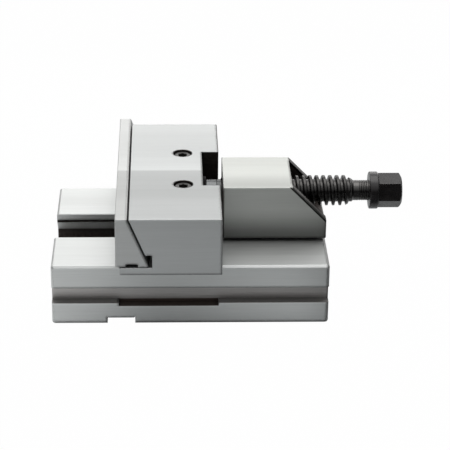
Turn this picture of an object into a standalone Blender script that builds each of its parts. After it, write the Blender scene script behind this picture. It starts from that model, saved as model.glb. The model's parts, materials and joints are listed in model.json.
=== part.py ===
"""Moving-jaw unit of a modular machine vise, on its slideway base.

Metres, +Z up. X runs along the slideway, with the clamping face towards -X and the drive hexagon towards +X.
Y runs across it, with the near side at -Y. The origin is the middle of the base's underside.
"""

import math

import bmesh
import bpy
from mathutils import Matrix, Vector

# Shared values
FIT_GAP = 0.0003  # clearance between pieces that seat in each other
SEAT_GAP = 0.0002  # clearance under the plate's foot, which rests tight
CUT_OVERRUN = 0.004  # how far a cutter runs past the face that it opens
WELD_DISTANCE = 0.000001
ROUND_SEGMENTS = 24
SHARP_ANGLE = math.radians(30)
EDGE_CHAMFER = 0.0004  # broken edges of the jaw, the plate and the support

# Base
BASE_LENGTH = 0.160
BASE_WIDTH = 0.111
BASE_HEIGHT = 0.037
BASE_CHAMFER = 0.0012
BASE_FOOT_RADIUS = 0.0018
CHANNEL_WIDTH = 0.0324
CHANNEL_FLOOR = 0.012
CHANNEL_MOUTH_CHAMFER = 0.0005
GUIDE_FACE_HEIGHT = 0.004
GUIDE_RELIEF_HEIGHT = 0.0016
GUIDE_RELIEF_DEPTH = 0.001
UNDERCUT_REACH = 0.0067
UNDERCUT_DROP = 0.0075
CLAMP_GROOVE_DEPTH = 0.0061
CLAMP_FLANGE_HEIGHT = 0.0134
CLAMP_GROOVE_HEIGHT = 0.0097
CLAMP_POCKET_DROP = 0.0017
CLAMP_POCKET_LENGTH = 0.0579
CLAMP_POCKET_X = -0.01255
KEYWAY_WIDTH = 0.016
KEYWAY_DEPTH = 0.004
KEYWAY_X = -0.040
KEYWAY_RELIEF = 0.0006
SEAT_PITCH = 0.025

# Jaw body
REST_GAP = 0.0018  # between the jaw's rear and the support at rest
JAW_LENGTH = 0.058
JAW_NEAR_WIDTH = 0.0715
JAW_FAR_WIDTH = 0.0692
JAW_HEIGHT = 0.037
WING_CLEARANCE = 0.0026  # under the wings that overhang the base
LEDGE_THICKNESS = 0.0043
INCLINE_ANGLE = math.radians(22.6)
INCLINE_TOP_LENGTH = 0.0528  # jaw's rear to the incline's top edge
FOOT_RELIEF_LENGTH = 0.0396  # jaw's rear to the square relief's rear wall
FOOT_RELIEF_HEIGHT = 0.0075
NOTCH_LENGTH = 0.0102
NOTCH_WIDTH = 0.0498
NOTCH_CLEARANCE = 0.0005  # under the thrust washer

# Jaw plate
PLATE_WIDTH = 0.150
PLATE_TOP_THICKNESS = 0.0066
PLATE_GAP = 0.00085  # along X, between the plate's incline and the body's
PLATE_LIP_GAP = 0.0005
PLATE_GROOVE_WIDTH = 0.0066
PLATE_GROOVE_DEPTH = 0.0019
PLATE_LIP_LENGTH = 0.0061
PLATE_FLOAT = 0.0005  # how far the plate draws back under load

# Guide block under the jaw
GUIDE_LENGTH = 0.050
GUIDE_REAR_SETBACK = 0.0057  # jaw's rear to the guide block's rear
GUIDE_FLANGE_LENGTH = 0.0242
GUIDE_FLANGE_WIDTH = 0.060
GUIDE_FLANGE_THICKNESS = 0.0104
GUIDE_FLOOR_CLEARANCE = 0.0015

# Screws from the jaw's top into the guide block
M6_DIAMETER = 0.006
M6_HEAD_DIAMETER = 0.010
M6_HEAD_HEIGHT = 0.006
M6_SOCKET = 0.005
M6_SOCKET_DEPTH = 0.003
COUNTERBORE_DIAMETER = 0.011
COUNTERBORE_CHAMFER = 0.0004
GUIDE_SCREW_TIP_RISE = 0.005  # above the slideway
GUIDE_SCREW_SETBACK = 0.0216  # jaw's rear to the screws' axes
GUIDE_SCREW_SPACING = 0.0458
GUIDE_SCREW_SINK = 0.001  # head below the jaw's top
DOWEL_DIAMETER = 0.005
DOWEL_LENGTH = 0.012
DOWEL_PITCH = 0.0085  # in front of the guide screws

# Plate screws, washers and springs
PLATE_SCREW_LENGTH = 0.035
PLATE_SCREW_SPACING = 0.096
PLATE_SCREW_DROP = 0.012  # below the jaw's top
PLATE_SCREW_COVER = 0.0035  # steel left in front of the screw's end
PLATE_WASHER_DIAMETER = 0.0102
PLATE_WASHER_THICKNESS = 0.001
SPRING_SPACING = 0.068
SPRING_DIAMETER = 0.006
SPRING_WIRE = 0.001
SPRING_TURNS = 6
SPRING_STEPS = 10  # points in each turn
SPRING_SIDES = 6
SPRING_HOLE_DEPTH = 0.0105
SPRING_POCKET_DEPTH = 0.003

# Support, which is the spindle's nut
SUPPORT_FRONT_X = 0.0195
SUPPORT_LENGTH = 0.0606
SUPPORT_WIDTH = 0.0454
SUPPORT_RISE = 0.0345  # above the slideway
SUPPORT_CLEARANCE = 0.0018
NUT_LENGTH = 0.0403
SUPPORT_TAIL_HEIGHT = 0.0118  # upright end under the slope
SUPPORT_WALL = 0.0054
SUPPORT_TROUGH_FLOOR = 0.0085  # above the slideway
STEM_LENGTH = 0.052
STEM_SETBACK = 0.0045  # behind the support's front

# Cross key under the support
KEY_DIAMETER = 0.012
KEY_RISE = 0.002  # key's axis above the channel's floor
KEY_SETBACK = 0.0205  # behind the support's front
KEY_SCREW_SPACING = 0.024
M4_DIAMETER = 0.004
M4_HEAD_DIAMETER = 0.007
M4_HEAD_HEIGHT = 0.004
M4_SOCKET = 0.003
M4_SOCKET_DEPTH = 0.002
KEY_SCREW_LENGTH = 0.014
KEY_SCREW_SINK = 0.0014

# Spindle
AXIS_RISE = 0.0226  # above the slideway
THREAD_DIAMETER = 0.018
THREAD_PITCH = 0.004
THREAD_DEPTH = 0.00225
THREAD_FLANK_ANGLE = math.radians(15)
THREAD_CREST_SHARE = 0.366
THREAD_SETBACK = 0.00073  # behind the jaw's rear
THREAD_LENGTH = 0.078
THREAD_LEAD_IN = 0.001
THREAD_TURN_SEGMENTS = 6
SHANK_DIAMETER = 0.012
SHANK_LENGTH = 0.0102
SHANK_TAPER = 0.0008
COLLAR_DIAMETER = 0.0221
COLLAR_LENGTH = 0.0052
COLLAR_CHAMFER = 0.0006
NECK_DIAMETER = 0.017
NECK_LENGTH = 0.0004
HEX_ACROSS_FLATS = 0.018
HEX_LENGTH = 0.0137
HEX_TURN_SEGMENTS = 1
HEX_CHAMFER_ANGLE = math.radians(30)
HEX_FACE_SHARE = 0.89
NOSE_DIAMETER = 0.010
NOSE_LENGTH = 0.020
NOSE_CHAMFER = 0.0006
NOSE_GROOVE_DIAMETER = 0.006
JOURNAL_GROOVE_SETBACK = 0.0058
JOURNAL_GROOVE_WIDTH = 0.0004
JOURNAL_GROOVE_DEPTH = 0.0005
THRUST_WASHER_DIAMETER = 0.017
THRUST_WASHER_THICKNESS = 0.0019
NOSE_PIN_DIAMETER = 0.004
NOSE_PIN_LENGTH = 0.0172
NOSE_PIN_SETBACK = 0.0187  # jaw's rear to the pins' axes

# Places worked out from the sizes above
JAW_REAR_X = SUPPORT_FRONT_X - REST_GAP
JAW_FRONT_X = JAW_REAR_X - JAW_LENGTH
JAW_TOP = BASE_HEIGHT + JAW_HEIGHT
JAW_SOLE = BASE_HEIGHT + FIT_GAP
WING_UNDERSIDE = BASE_HEIGHT + WING_CLEARANCE
LEDGE_TOP = WING_UNDERSIDE + LEDGE_THICKNESS
INCLINE_TOP_X = JAW_REAR_X - INCLINE_TOP_LENGTH
FOOT_RELIEF_X = JAW_REAR_X - FOOT_RELIEF_LENGTH
FOOT_RELIEF_TOP = LEDGE_TOP + FOOT_RELIEF_HEIGHT
NOTCH_WALL_X = JAW_REAR_X - NOTCH_LENGTH
PLATE_FACE_X = INCLINE_TOP_X - PLATE_GAP - PLATE_TOP_THICKNESS
GUIDE_REAR_X = JAW_REAR_X - GUIDE_REAR_SETBACK
GUIDE_FRONT_X = GUIDE_REAR_X - GUIDE_LENGTH
FLANGE_REAR_X = GUIDE_REAR_X - GUIDE_REAR_SETBACK
FLANGE_FRONT_X = FLANGE_REAR_X - GUIDE_FLANGE_LENGTH
FLANGE_BOTTOM = JAW_SOLE + FIT_GAP
FLANGE_TOP = FLANGE_BOTTOM + GUIDE_FLANGE_THICKNESS
GUIDE_SCREW_X = JAW_REAR_X - GUIDE_SCREW_SETBACK
GUIDE_SCREW_SEAT = JAW_TOP - GUIDE_SCREW_SINK - M6_HEAD_HEIGHT
GUIDE_SCREW_LENGTH = GUIDE_SCREW_SEAT - BASE_HEIGHT - GUIDE_SCREW_TIP_RISE
DOWEL_X = GUIDE_SCREW_X - DOWEL_PITCH
PLATE_SCREW_Z = JAW_TOP - PLATE_SCREW_DROP
PLATE_SCREW_TIP_X = PLATE_FACE_X + PLATE_SCREW_COVER
PLATE_SCREW_SEAT_X = PLATE_SCREW_TIP_X + PLATE_SCREW_LENGTH
SUPPORT_REAR_X = SUPPORT_FRONT_X + SUPPORT_LENGTH
SUPPORT_TOP = BASE_HEIGHT + SUPPORT_RISE
SUPPORT_BOTTOM = BASE_HEIGHT + SUPPORT_CLEARANCE
NUT_REAR_X = SUPPORT_FRONT_X + NUT_LENGTH
KEY_X = SUPPORT_FRONT_X + KEY_SETBACK
KEY_Z = CHANNEL_FLOOR + KEY_RISE
KEY_SEAT_RADIUS = KEY_DIAMETER / 2 + FIT_GAP
KEY_ENGAGEMENT = KEY_SEAT_RADIUS - KEY_RISE
AXIS_Z = BASE_HEIGHT + AXIS_RISE
NOTCH_FLOOR = AXIS_Z - THRUST_WASHER_DIAMETER / 2 - NOTCH_CLEARANCE
JOURNAL_DIAMETER = THREAD_DIAMETER - 2 * THREAD_DEPTH
JOURNAL_X = NOTCH_WALL_X + THRUST_WASHER_THICKNESS + 2 * FIT_GAP
NOSE_TIP_X = JOURNAL_X - NOSE_LENGTH
NOSE_PIN_X = JAW_REAR_X - NOSE_PIN_SETBACK
NOSE_PIN_Y = (NOSE_GROOVE_DIAMETER + NOSE_PIN_DIAMETER) / 2 + FIT_GAP
THREAD_START_X = JAW_REAR_X + THREAD_SETBACK
THREAD_END_X = THREAD_START_X + THREAD_LENGTH
UNDERCUT_TOP = BASE_HEIGHT - GUIDE_FACE_HEIGHT - GUIDE_RELIEF_HEIGHT
UNDERCUT_BOTTOM = UNDERCUT_TOP - UNDERCUT_DROP
UNDERCUT_HALF_WIDTH = CHANNEL_WIDTH / 2 + UNDERCUT_REACH


def clear_scene():
    for old in list(bpy.data.objects):
        bpy.data.objects.remove(old)


def steel(name, colour, roughness, metallic=1.0):
    material = bpy.data.materials.new(name)
    material.use_nodes = True
    shader = material.node_tree.nodes["Principled BSDF"]
    shader.inputs["Base Color"].default_value = (*colour, 1.0)
    shader.inputs["Roughness"].default_value = roughness
    shader.inputs["Metallic"].default_value = metallic
    return material


def add_object(name, bm, material=None, location=(0, 0, 0), rotation=(0, 0, 0)):
    """Turns a bmesh into a linked object with outward faces and smooth round sides."""
    bmesh.ops.recalc_face_normals(bm, faces=bm.faces)
    mesh = bpy.data.meshes.new(name)
    bm.to_mesh(mesh)
    bm.free()
    mesh.shade_smooth()
    mesh.set_sharp_from_angle(angle=SHARP_ANGLE)
    if material:
        mesh.materials.append(material)
    obj = bpy.data.objects.new(name, mesh)
    obj.location = location
    obj.rotation_euler = rotation
    bpy.context.scene.collection.objects.link(obj)
    return obj


def add_empty(name, location):
    empty = bpy.data.objects.new(name, None)
    empty.location = location
    bpy.context.scene.collection.objects.link(empty)
    return empty


def carry(parent, *children):
    """Parents each child to an empty and keeps the child where it is."""
    for child in children:
        child.parent = parent
        child.matrix_parent_inverse = Matrix.Translation(-Vector(parent.location))


def helper(obj):
    obj.hide_render = True
    obj.display_type = "WIRE"
    return obj


def boolean(target, tool, operation):
    modifier = target.modifiers.new(tool.name, "BOOLEAN")
    modifier.operation = operation
    modifier.solver = "EXACT"
    modifier.object = helper(tool)


def cut(target, *tools):
    for tool in tools:
        boolean(target, tool, "DIFFERENCE")


def join(target, *tools):
    for tool in tools:
        boolean(target, tool, "UNION")


def prism(outline, axis, low, high, chamfer=0):
    """Extrudes an outline along an axis. Along X its points are (y, z), along Y (x, z) and along Z (x, y)."""
    order = {"X": (1, 2, 0), "Y": (0, 2, 1), "Z": (0, 1, 2)}[axis]
    bm = bmesh.new()
    ends = []
    for level in (low, high):
        ring = []
        for first, second in outline:
            point = [0, 0, 0]
            for slot, value in zip(order, (first, second, level)):
                point[slot] = value
            ring.append(bm.verts.new(point))
        ends.append(ring)
    count = len(outline)
    for step in range(count):
        following = (step + 1) % count
        bm.faces.new((ends[0][step], ends[0][following], ends[1][following], ends[1][step]))
    for ring in ends:
        bm.faces.new(ring)
    bmesh.ops.recalc_face_normals(bm, faces=bm.faces)
    if chamfer:
        sharp = [edge for edge in bm.edges if edge.calc_face_angle() > SHARP_ANGLE]
        bmesh.ops.bevel(bm, geom=sharp, offset=chamfer, segments=1, affect="EDGES", clamp_overlap=True)
    return bm


def block(low, high, chamfer=0):
    """A box between two corners."""
    outline = [(low[0], low[1]), (high[0], low[1]), (high[0], high[1]), (low[0], high[1])]
    return prism(outline, "Z", low[2], high[2], chamfer)


def arc(centre, radius, start, end, steps):
    """Points of an arc, with angles from the outline's first axis towards its second."""
    points = []
    for step in range(steps + 1):
        angle = start + (end - start) * step / steps
        points.append((centre[0] + radius * math.cos(angle), centre[1] + radius * math.sin(angle)))
    return points


def on_circle(along, radius, segment):
    """A point round the X axis, where segments run from +Y towards +Z."""
    angle = math.tau * segment / ROUND_SEGMENTS
    return along, radius * math.cos(angle), radius * math.sin(angle)


def skin(bm, rings):
    """Joins rings of points side by side and closes the first and the last."""
    made = [[bm.verts.new(point) for point in ring] for ring in rings]
    for ring, following in zip(made, made[1:]):
        for step in range(ROUND_SEGMENTS):
            after = (step + 1) % ROUND_SEGMENTS
            bm.faces.new((ring[step], ring[after], following[after], following[step]))
    bm.faces.new(made[0])
    bm.faces.new(made[-1])


def turned(profile):
    """Turns a list of (along, radius) points round the X axis into a closed solid."""
    bm = bmesh.new()
    steps = range(ROUND_SEGMENTS)
    skin(bm, [[on_circle(along, radius, step) for step in steps] for along, radius in profile])
    return bm


def ring_solid(inner_radius, outer_radius, low, high):
    """A plain ring round the X axis."""
    bm = bmesh.new()
    corners = [(low, inner_radius), (low, outer_radius), (high, outer_radius), (high, inner_radius)]
    loops = []
    for along, radius in corners:
        loops.append([bm.verts.new(on_circle(along, radius, step)) for step in range(ROUND_SEGMENTS)])
    for index, loop in enumerate(loops):
        following = loops[(index + 1) % len(loops)]
        for step in range(ROUND_SEGMENTS):
            after = (step + 1) % ROUND_SEGMENTS
            bm.faces.new((loop[step], loop[after], following[after], following[step]))
    return bm


def hexagon(across_flats):
    radius = across_flats / 2 / math.cos(math.pi / 6)
    turns = [math.tau * side / 6 for side in range(6)]
    return [(radius * math.cos(turn), radius * math.sin(turn)) for turn in turns]


def bore(name, profile, location, rotation=(0, 0, 0)):
    """A round cutter, turned from (along, radius) points."""
    return add_object(name, turned(profile), None, location, rotation)


UPRIGHT = (0, -math.pi / 2, 0)  # turns a piece made along +X to stand along +Z


def cap_screw(name, sizes, length, material, location, rotation):
    """A socket head screw made along +X: its seat lies at the origin, its shank on the -X side."""
    diameter, head_diameter, head_height, socket, socket_depth = sizes
    edge = diameter / 12
    profile = [
        (-length, diameter / 2 - edge),
        (edge - length, diameter / 2),
        (0, diameter / 2),
        (0, head_diameter / 2),
        (head_height - edge, head_diameter / 2),
        (head_height, head_diameter / 2 - edge),
    ]
    screw = add_object(name, turned(profile), material, location, rotation)
    socket_outline = hexagon(socket)
    low = head_height - socket_depth
    socket_cutter = prism(socket_outline, "X", low, head_height + CUT_OVERRUN)
    cut(screw, add_object(name + "_socket", socket_cutter, None, location, rotation))
    return screw


M6_SIZES = (M6_DIAMETER, M6_HEAD_DIAMETER, M6_HEAD_HEIGHT, M6_SOCKET, M6_SOCKET_DEPTH)
M4_SIZES = (M4_DIAMETER, M4_HEAD_DIAMETER, M4_HEAD_HEIGHT, M4_SOCKET, M4_SOCKET_DEPTH)
SIDES = (("near", -1), ("far", 1))


def base_blank():
    """The outside of the base, with rounded lower ends and chamfered edges."""
    half = BASE_LENGTH / 2
    radius = BASE_FOOT_RADIUS
    outline = arc((radius - half, radius), radius, -math.pi, -math.pi / 2, 4)
    outline += arc((half - radius, radius), radius, -math.pi / 2, 0, 4)
    outline += [(half, BASE_HEIGHT - BASE_CHAMFER), (half - BASE_CHAMFER, BASE_HEIGHT)]
    outline += [(BASE_CHAMFER - half, BASE_HEIGHT), (-half, BASE_HEIGHT - BASE_CHAMFER)]
    bm = prism(outline, "Y", -BASE_WIDTH / 2, BASE_WIDTH / 2)
    rims = [edge for edge in bm.edges if abs(edge.verts[0].co.y - edge.verts[1].co.y) < WELD_DISTANCE]
    bmesh.ops.bevel(bm, geom=rims, offset=BASE_CHAMFER, segments=1, affect="EDGES", clamp_overlap=True)
    return bm


def mirrored(half_outline):
    """Closes an outline that is given on its +Y side, from the top down."""
    return half_outline + [(-first, second) for first, second in reversed(half_outline)]


def channel_outline():
    """The slideway's cross-section: guide faces, reliefs and undercuts under the rails' lips."""
    half = CHANNEL_WIDTH / 2
    relief_top = BASE_HEIGHT - GUIDE_FACE_HEIGHT
    return mirrored([
        (half + CHANNEL_MOUTH_CHAMFER + CUT_OVERRUN, BASE_HEIGHT + CUT_OVERRUN),
        (half, BASE_HEIGHT - CHANNEL_MOUTH_CHAMFER),
        (half, relief_top),
        (half + GUIDE_RELIEF_DEPTH, relief_top),
        (half + GUIDE_RELIEF_DEPTH, UNDERCUT_TOP + GUIDE_RELIEF_HEIGHT / 2),
        (half, UNDERCUT_TOP),
        (UNDERCUT_HALF_WIDTH, UNDERCUT_BOTTOM),
        (UNDERCUT_HALF_WIDTH, CHANNEL_FLOOR),
    ])


def clamp_groove_outline():
    """A side groove with its lowered middle, seen from the side."""
    end = BASE_LENGTH / 2 + CUT_OVERRUN
    top = CLAMP_FLANGE_HEIGHT + CLAMP_GROOVE_HEIGHT
    low = CLAMP_FLANGE_HEIGHT - CLAMP_POCKET_DROP
    start = CLAMP_POCKET_X - CLAMP_POCKET_LENGTH / 2
    stop = CLAMP_POCKET_X + CLAMP_POCKET_LENGTH / 2
    return [
        (-end, top),
        (-end, CLAMP_FLANGE_HEIGHT),
        (start, CLAMP_FLANGE_HEIGHT),
        (start, low),
        (stop, low),
        (stop, CLAMP_FLANGE_HEIGHT),
        (end, CLAMP_FLANGE_HEIGHT),
        (end, top),
    ]


def keyway_outline():
    """The underside's cross keyway, with relieved inner corners."""
    half = KEYWAY_WIDTH / 2
    return [
        (KEYWAY_X - half, -CUT_OVERRUN),
        (KEYWAY_X + half, -CUT_OVERRUN),
        (KEYWAY_X + half, KEYWAY_DEPTH - KEYWAY_RELIEF),
        (KEYWAY_X + half + KEYWAY_RELIEF, KEYWAY_DEPTH),
        (KEYWAY_X + half, KEYWAY_DEPTH + KEYWAY_RELIEF),
        (KEYWAY_X + half - KEYWAY_RELIEF, KEYWAY_DEPTH),
        (KEYWAY_X - half + KEYWAY_RELIEF, KEYWAY_DEPTH),
        (KEYWAY_X - half, KEYWAY_DEPTH + KEYWAY_RELIEF),
        (KEYWAY_X - half - KEYWAY_RELIEF, KEYWAY_DEPTH),
        (KEYWAY_X - half, KEYWAY_DEPTH - KEYWAY_RELIEF),
    ]


def make_base(material):
    base = add_object("base", base_blank(), material)
    end = BASE_LENGTH / 2 + CUT_OVERRUN
    side = BASE_WIDTH / 2 + CUT_OVERRUN
    cut(base, add_object("channel_cutter", prism(channel_outline(), "X", -end, end)))
    for name, sign in SIDES:
        inner = sign * (BASE_WIDTH / 2 - CLAMP_GROOVE_DEPTH)
        cut(base, add_object("clamp_groove_" + name, prism(clamp_groove_outline(), "Y", inner, sign * side)))
    cut(base, add_object("keyway_cutter", prism(keyway_outline(), "Y", -side, side)))
    seat_half = UNDERCUT_HALF_WIDTH - FIT_GAP
    first = math.ceil((KEY_SEAT_RADIUS - BASE_LENGTH / 2 - KEY_X) / SEAT_PITCH)
    last = math.floor((BASE_LENGTH / 2 - KEY_SEAT_RADIUS - KEY_X) / SEAT_PITCH)
    for step in range(first, last + 1):
        seat = bore(
            f"key_seat_cutter_{step - first}",
            [(-seat_half, KEY_SEAT_RADIUS), (seat_half, KEY_SEAT_RADIUS)],
            (KEY_X + step * SEAT_PITCH, 0, KEY_Z),
            (0, 0, math.pi / 2),
        )
        cut(base, seat)
    return base


def incline_x(height):
    """Where the jaw body's inclined front lies at a height."""
    return INCLINE_TOP_X + (JAW_TOP - height) * math.tan(INCLINE_ANGLE)


def make_jaw_body(material):
    outline = [
        (JAW_FRONT_X, JAW_SOLE),
        (JAW_REAR_X, JAW_SOLE),
        (JAW_REAR_X, JAW_TOP),
        (INCLINE_TOP_X, JAW_TOP),
        (incline_x(FOOT_RELIEF_TOP), FOOT_RELIEF_TOP),
        (FOOT_RELIEF_X, FOOT_RELIEF_TOP),
        (FOOT_RELIEF_X, LEDGE_TOP),
        (JAW_FRONT_X, LEDGE_TOP),
    ]
    jaw = add_object("jaw_body", prism(outline, "Y", -JAW_NEAR_WIDTH, JAW_FAR_WIDTH, EDGE_CHAMFER), material)
    sole_half = BASE_WIDTH / 2 - BASE_CHAMFER
    front = JAW_FRONT_X - CUT_OVERRUN
    rear = JAW_REAR_X + CUT_OVERRUN
    for name, sign, reach in (("near", -1, JAW_NEAR_WIDTH), ("far", 1, JAW_FAR_WIDTH)):
        sides = sorted((sign * sole_half, sign * (reach + CUT_OVERRUN)))
        wing = block((front, sides[0], JAW_SOLE - CUT_OVERRUN), (rear, sides[1], WING_UNDERSIDE))
        cut(jaw, add_object("wing_cutter_" + name, wing))
    notch = block(
        (NOTCH_WALL_X, -NOTCH_WIDTH / 2, NOTCH_FLOOR),
        (rear, NOTCH_WIDTH / 2, JAW_TOP + CUT_OVERRUN),
    )
    recess_half = GUIDE_FLANGE_WIDTH / 2 + FIT_GAP
    recess = block(
        (FLANGE_FRONT_X - FIT_GAP, -recess_half, JAW_SOLE - CUT_OVERRUN),
        (FLANGE_REAR_X + FIT_GAP, recess_half, FLANGE_TOP + FIT_GAP),
    )
    nose = [
        (NOSE_TIP_X - FIT_GAP, NOSE_DIAMETER / 2 + FIT_GAP),
        (NOTCH_WALL_X + CUT_OVERRUN, NOSE_DIAMETER / 2 + FIT_GAP),
    ]
    cut(
        jaw,
        add_object("notch_cutter", notch),
        add_object("recess_cutter", recess),
        bore("nose_bore_cutter", nose, (0, 0, AXIS_Z)),
    )
    for name, sign in SIDES:
        cut_jaw_holes(jaw, name, sign)
    return jaw


def cut_jaw_holes(jaw, name, sign):
    """The screw, dowel, pin and spring holes of one side of the jaw body."""
    shank = M6_DIAMETER / 2 + FIT_GAP
    pocket = COUNTERBORE_DIAMETER / 2
    seat = GUIDE_SCREW_SEAT - FIT_GAP
    guide_hole = [
        (FLANGE_TOP - CUT_OVERRUN, shank),
        (seat, shank),
        (seat, pocket),
        (JAW_TOP - COUNTERBORE_CHAMFER, pocket),
        (JAW_TOP + CUT_OVERRUN, pocket + COUNTERBORE_CHAMFER + CUT_OVERRUN),
    ]
    screw_y = sign * GUIDE_SCREW_SPACING / 2
    dowel = DOWEL_DIAMETER / 2 + FIT_GAP
    dowel_hole = [(FLANGE_TOP - CUT_OVERRUN, dowel), (FLANGE_TOP + DOWEL_LENGTH / 2 + FIT_GAP, dowel)]
    pin = NOSE_PIN_DIAMETER / 2 + FIT_GAP
    pin_hole = [(FLANGE_TOP - CUT_OVERRUN, pin), (FLANGE_TOP + NOSE_PIN_LENGTH + 2 * FIT_GAP, pin)]
    plate_seat = PLATE_SCREW_SEAT_X - PLATE_WASHER_THICKNESS - 2 * FIT_GAP
    plate_hole = [
        (incline_x(PLATE_SCREW_Z) - CUT_OVERRUN, shank),
        (plate_seat, shank),
        (plate_seat, pocket),
        (JAW_REAR_X + CUT_OVERRUN, pocket),
    ]
    spring = SPRING_DIAMETER / 2 + FIT_GAP
    spring_hole = [
        (incline_x(PLATE_SCREW_Z) - CUT_OVERRUN, spring),
        (incline_x(PLATE_SCREW_Z) + SPRING_HOLE_DEPTH, spring),
    ]
    cut(
        jaw,
        bore("guide_screw_hole_" + name, guide_hole, (GUIDE_SCREW_X, screw_y, 0), UPRIGHT),
        bore("dowel_hole_" + name, dowel_hole, (DOWEL_X, screw_y, 0), UPRIGHT),
        bore("nose_pin_hole_" + name, pin_hole, (NOSE_PIN_X, sign * NOSE_PIN_Y, 0), UPRIGHT),
        bore("plate_screw_hole_" + name, plate_hole, (0, sign * PLATE_SCREW_SPACING / 2, PLATE_SCREW_Z)),
        bore("spring_hole_" + name, spring_hole, (0, sign * SPRING_SPACING / 2, PLATE_SCREW_Z)),
    )


def make_jaw_plate(material):
    """The wedge-backed plate, which overhangs the body on the far side."""
    foot = LEDGE_TOP + SEAT_GAP
    lip = LEDGE_TOP + PLATE_LIP_GAP
    groove_front = PLATE_FACE_X + PLATE_LIP_LENGTH
    groove_rear = groove_front + PLATE_GROOVE_WIDTH
    outline = [
        (PLATE_FACE_X, lip),
        (groove_front, lip),
        (groove_front, foot + PLATE_GROOVE_DEPTH),
        (groove_rear, foot + PLATE_GROOVE_DEPTH),
        (groove_rear, foot),
        (incline_x(foot) - PLATE_GAP, foot),
        (incline_x(JAW_TOP) - PLATE_GAP, JAW_TOP),
        (PLATE_FACE_X, JAW_TOP),
    ]
    far = PLATE_WIDTH - JAW_NEAR_WIDTH
    plate = add_object("jaw_plate", prism(outline, "Y", -JAW_NEAR_WIDTH, far, EDGE_CHAMFER), material)
    back = incline_x(PLATE_SCREW_Z) - PLATE_GAP
    screw_hole = [
        (PLATE_SCREW_TIP_X - FIT_GAP, M6_DIAMETER / 2 + FIT_GAP),
        (back + CUT_OVERRUN, M6_DIAMETER / 2 + FIT_GAP),
    ]
    spring_hole = [
        (back - SPRING_POCKET_DEPTH, SPRING_DIAMETER / 2 + FIT_GAP),
        (back + CUT_OVERRUN, SPRING_DIAMETER / 2 + FIT_GAP),
    ]
    for name, sign in SIDES:
        screw_at = (0, sign * PLATE_SCREW_SPACING / 2, PLATE_SCREW_Z)
        spring_at = (0, sign * SPRING_SPACING / 2, PLATE_SCREW_Z)
        cut(
            plate,
            bore("plate_thread_cutter_" + name, screw_hole, screw_at),
            bore("plate_spring_cutter_" + name, spring_hole, spring_at),
        )
    return plate


def spring_mesh(length):
    """A wound compression spring along +X from the origin, as one unbroken tube."""
    bm = bmesh.new()
    coil_radius = (SPRING_DIAMETER - SPRING_WIRE) / 2
    steps = SPRING_TURNS * SPRING_STEPS
    climb = (length - SPRING_WIRE) / steps
    lean = math.atan2(climb * SPRING_STEPS, math.tau * coil_radius)
    rings = []
    for step in range(steps + 1):
        angle = math.tau * step / SPRING_STEPS
        outward = Vector((0, math.cos(angle), math.sin(angle)))
        round_way = Vector((0, -math.sin(angle), math.cos(angle)))
        along = Vector((math.cos(lean), 0, 0)) - round_way * math.sin(lean)
        centre = outward * coil_radius + Vector((SPRING_WIRE / 2 + climb * step, 0, 0))
        ring = []
        for side in range(SPRING_SIDES):
            turn = math.tau * side / SPRING_SIDES
            offset = (outward * math.cos(turn) + along * math.sin(turn)) * SPRING_WIRE / 2
            ring.append(bm.verts.new(centre + offset))
        rings.append(ring)
    for ring, following in zip(rings, rings[1:]):
        for side in range(SPRING_SIDES):
            after = (side + 1) % SPRING_SIDES
            bm.faces.new((ring[side], ring[after], following[after], following[side]))
    bm.faces.new(rings[0])
    bm.faces.new(rings[-1])
    return bm


def make_plate_fittings(name, sign, screw_steel, spring_steel):
    """One side's plate screw and washer, and the spring that holds the plate off the incline."""
    screw_at = (PLATE_SCREW_SEAT_X, sign * PLATE_SCREW_SPACING / 2, PLATE_SCREW_Z)
    screw = cap_screw("plate_screw_" + name, M6_SIZES, PLATE_SCREW_LENGTH, screw_steel, screw_at, (0, 0, 0))
    washer_mesh = ring_solid(
        M6_DIAMETER / 2 + FIT_GAP,
        PLATE_WASHER_DIAMETER / 2,
        -FIT_GAP - PLATE_WASHER_THICKNESS,
        -FIT_GAP,
    )
    washer = add_object("plate_washer_" + name, washer_mesh, screw_steel, screw_at)
    back = incline_x(PLATE_SCREW_Z)
    front = back - PLATE_GAP - SPRING_POCKET_DEPTH + PLATE_FLOAT + FIT_GAP
    length = back + SPRING_HOLE_DEPTH - FIT_GAP - front
    spring_at = (front, sign * SPRING_SPACING / 2, PLATE_SCREW_Z)
    spring = add_object("plate_spring_" + name, spring_mesh(length), spring_steel, spring_at)
    return screw, washer, spring


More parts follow.
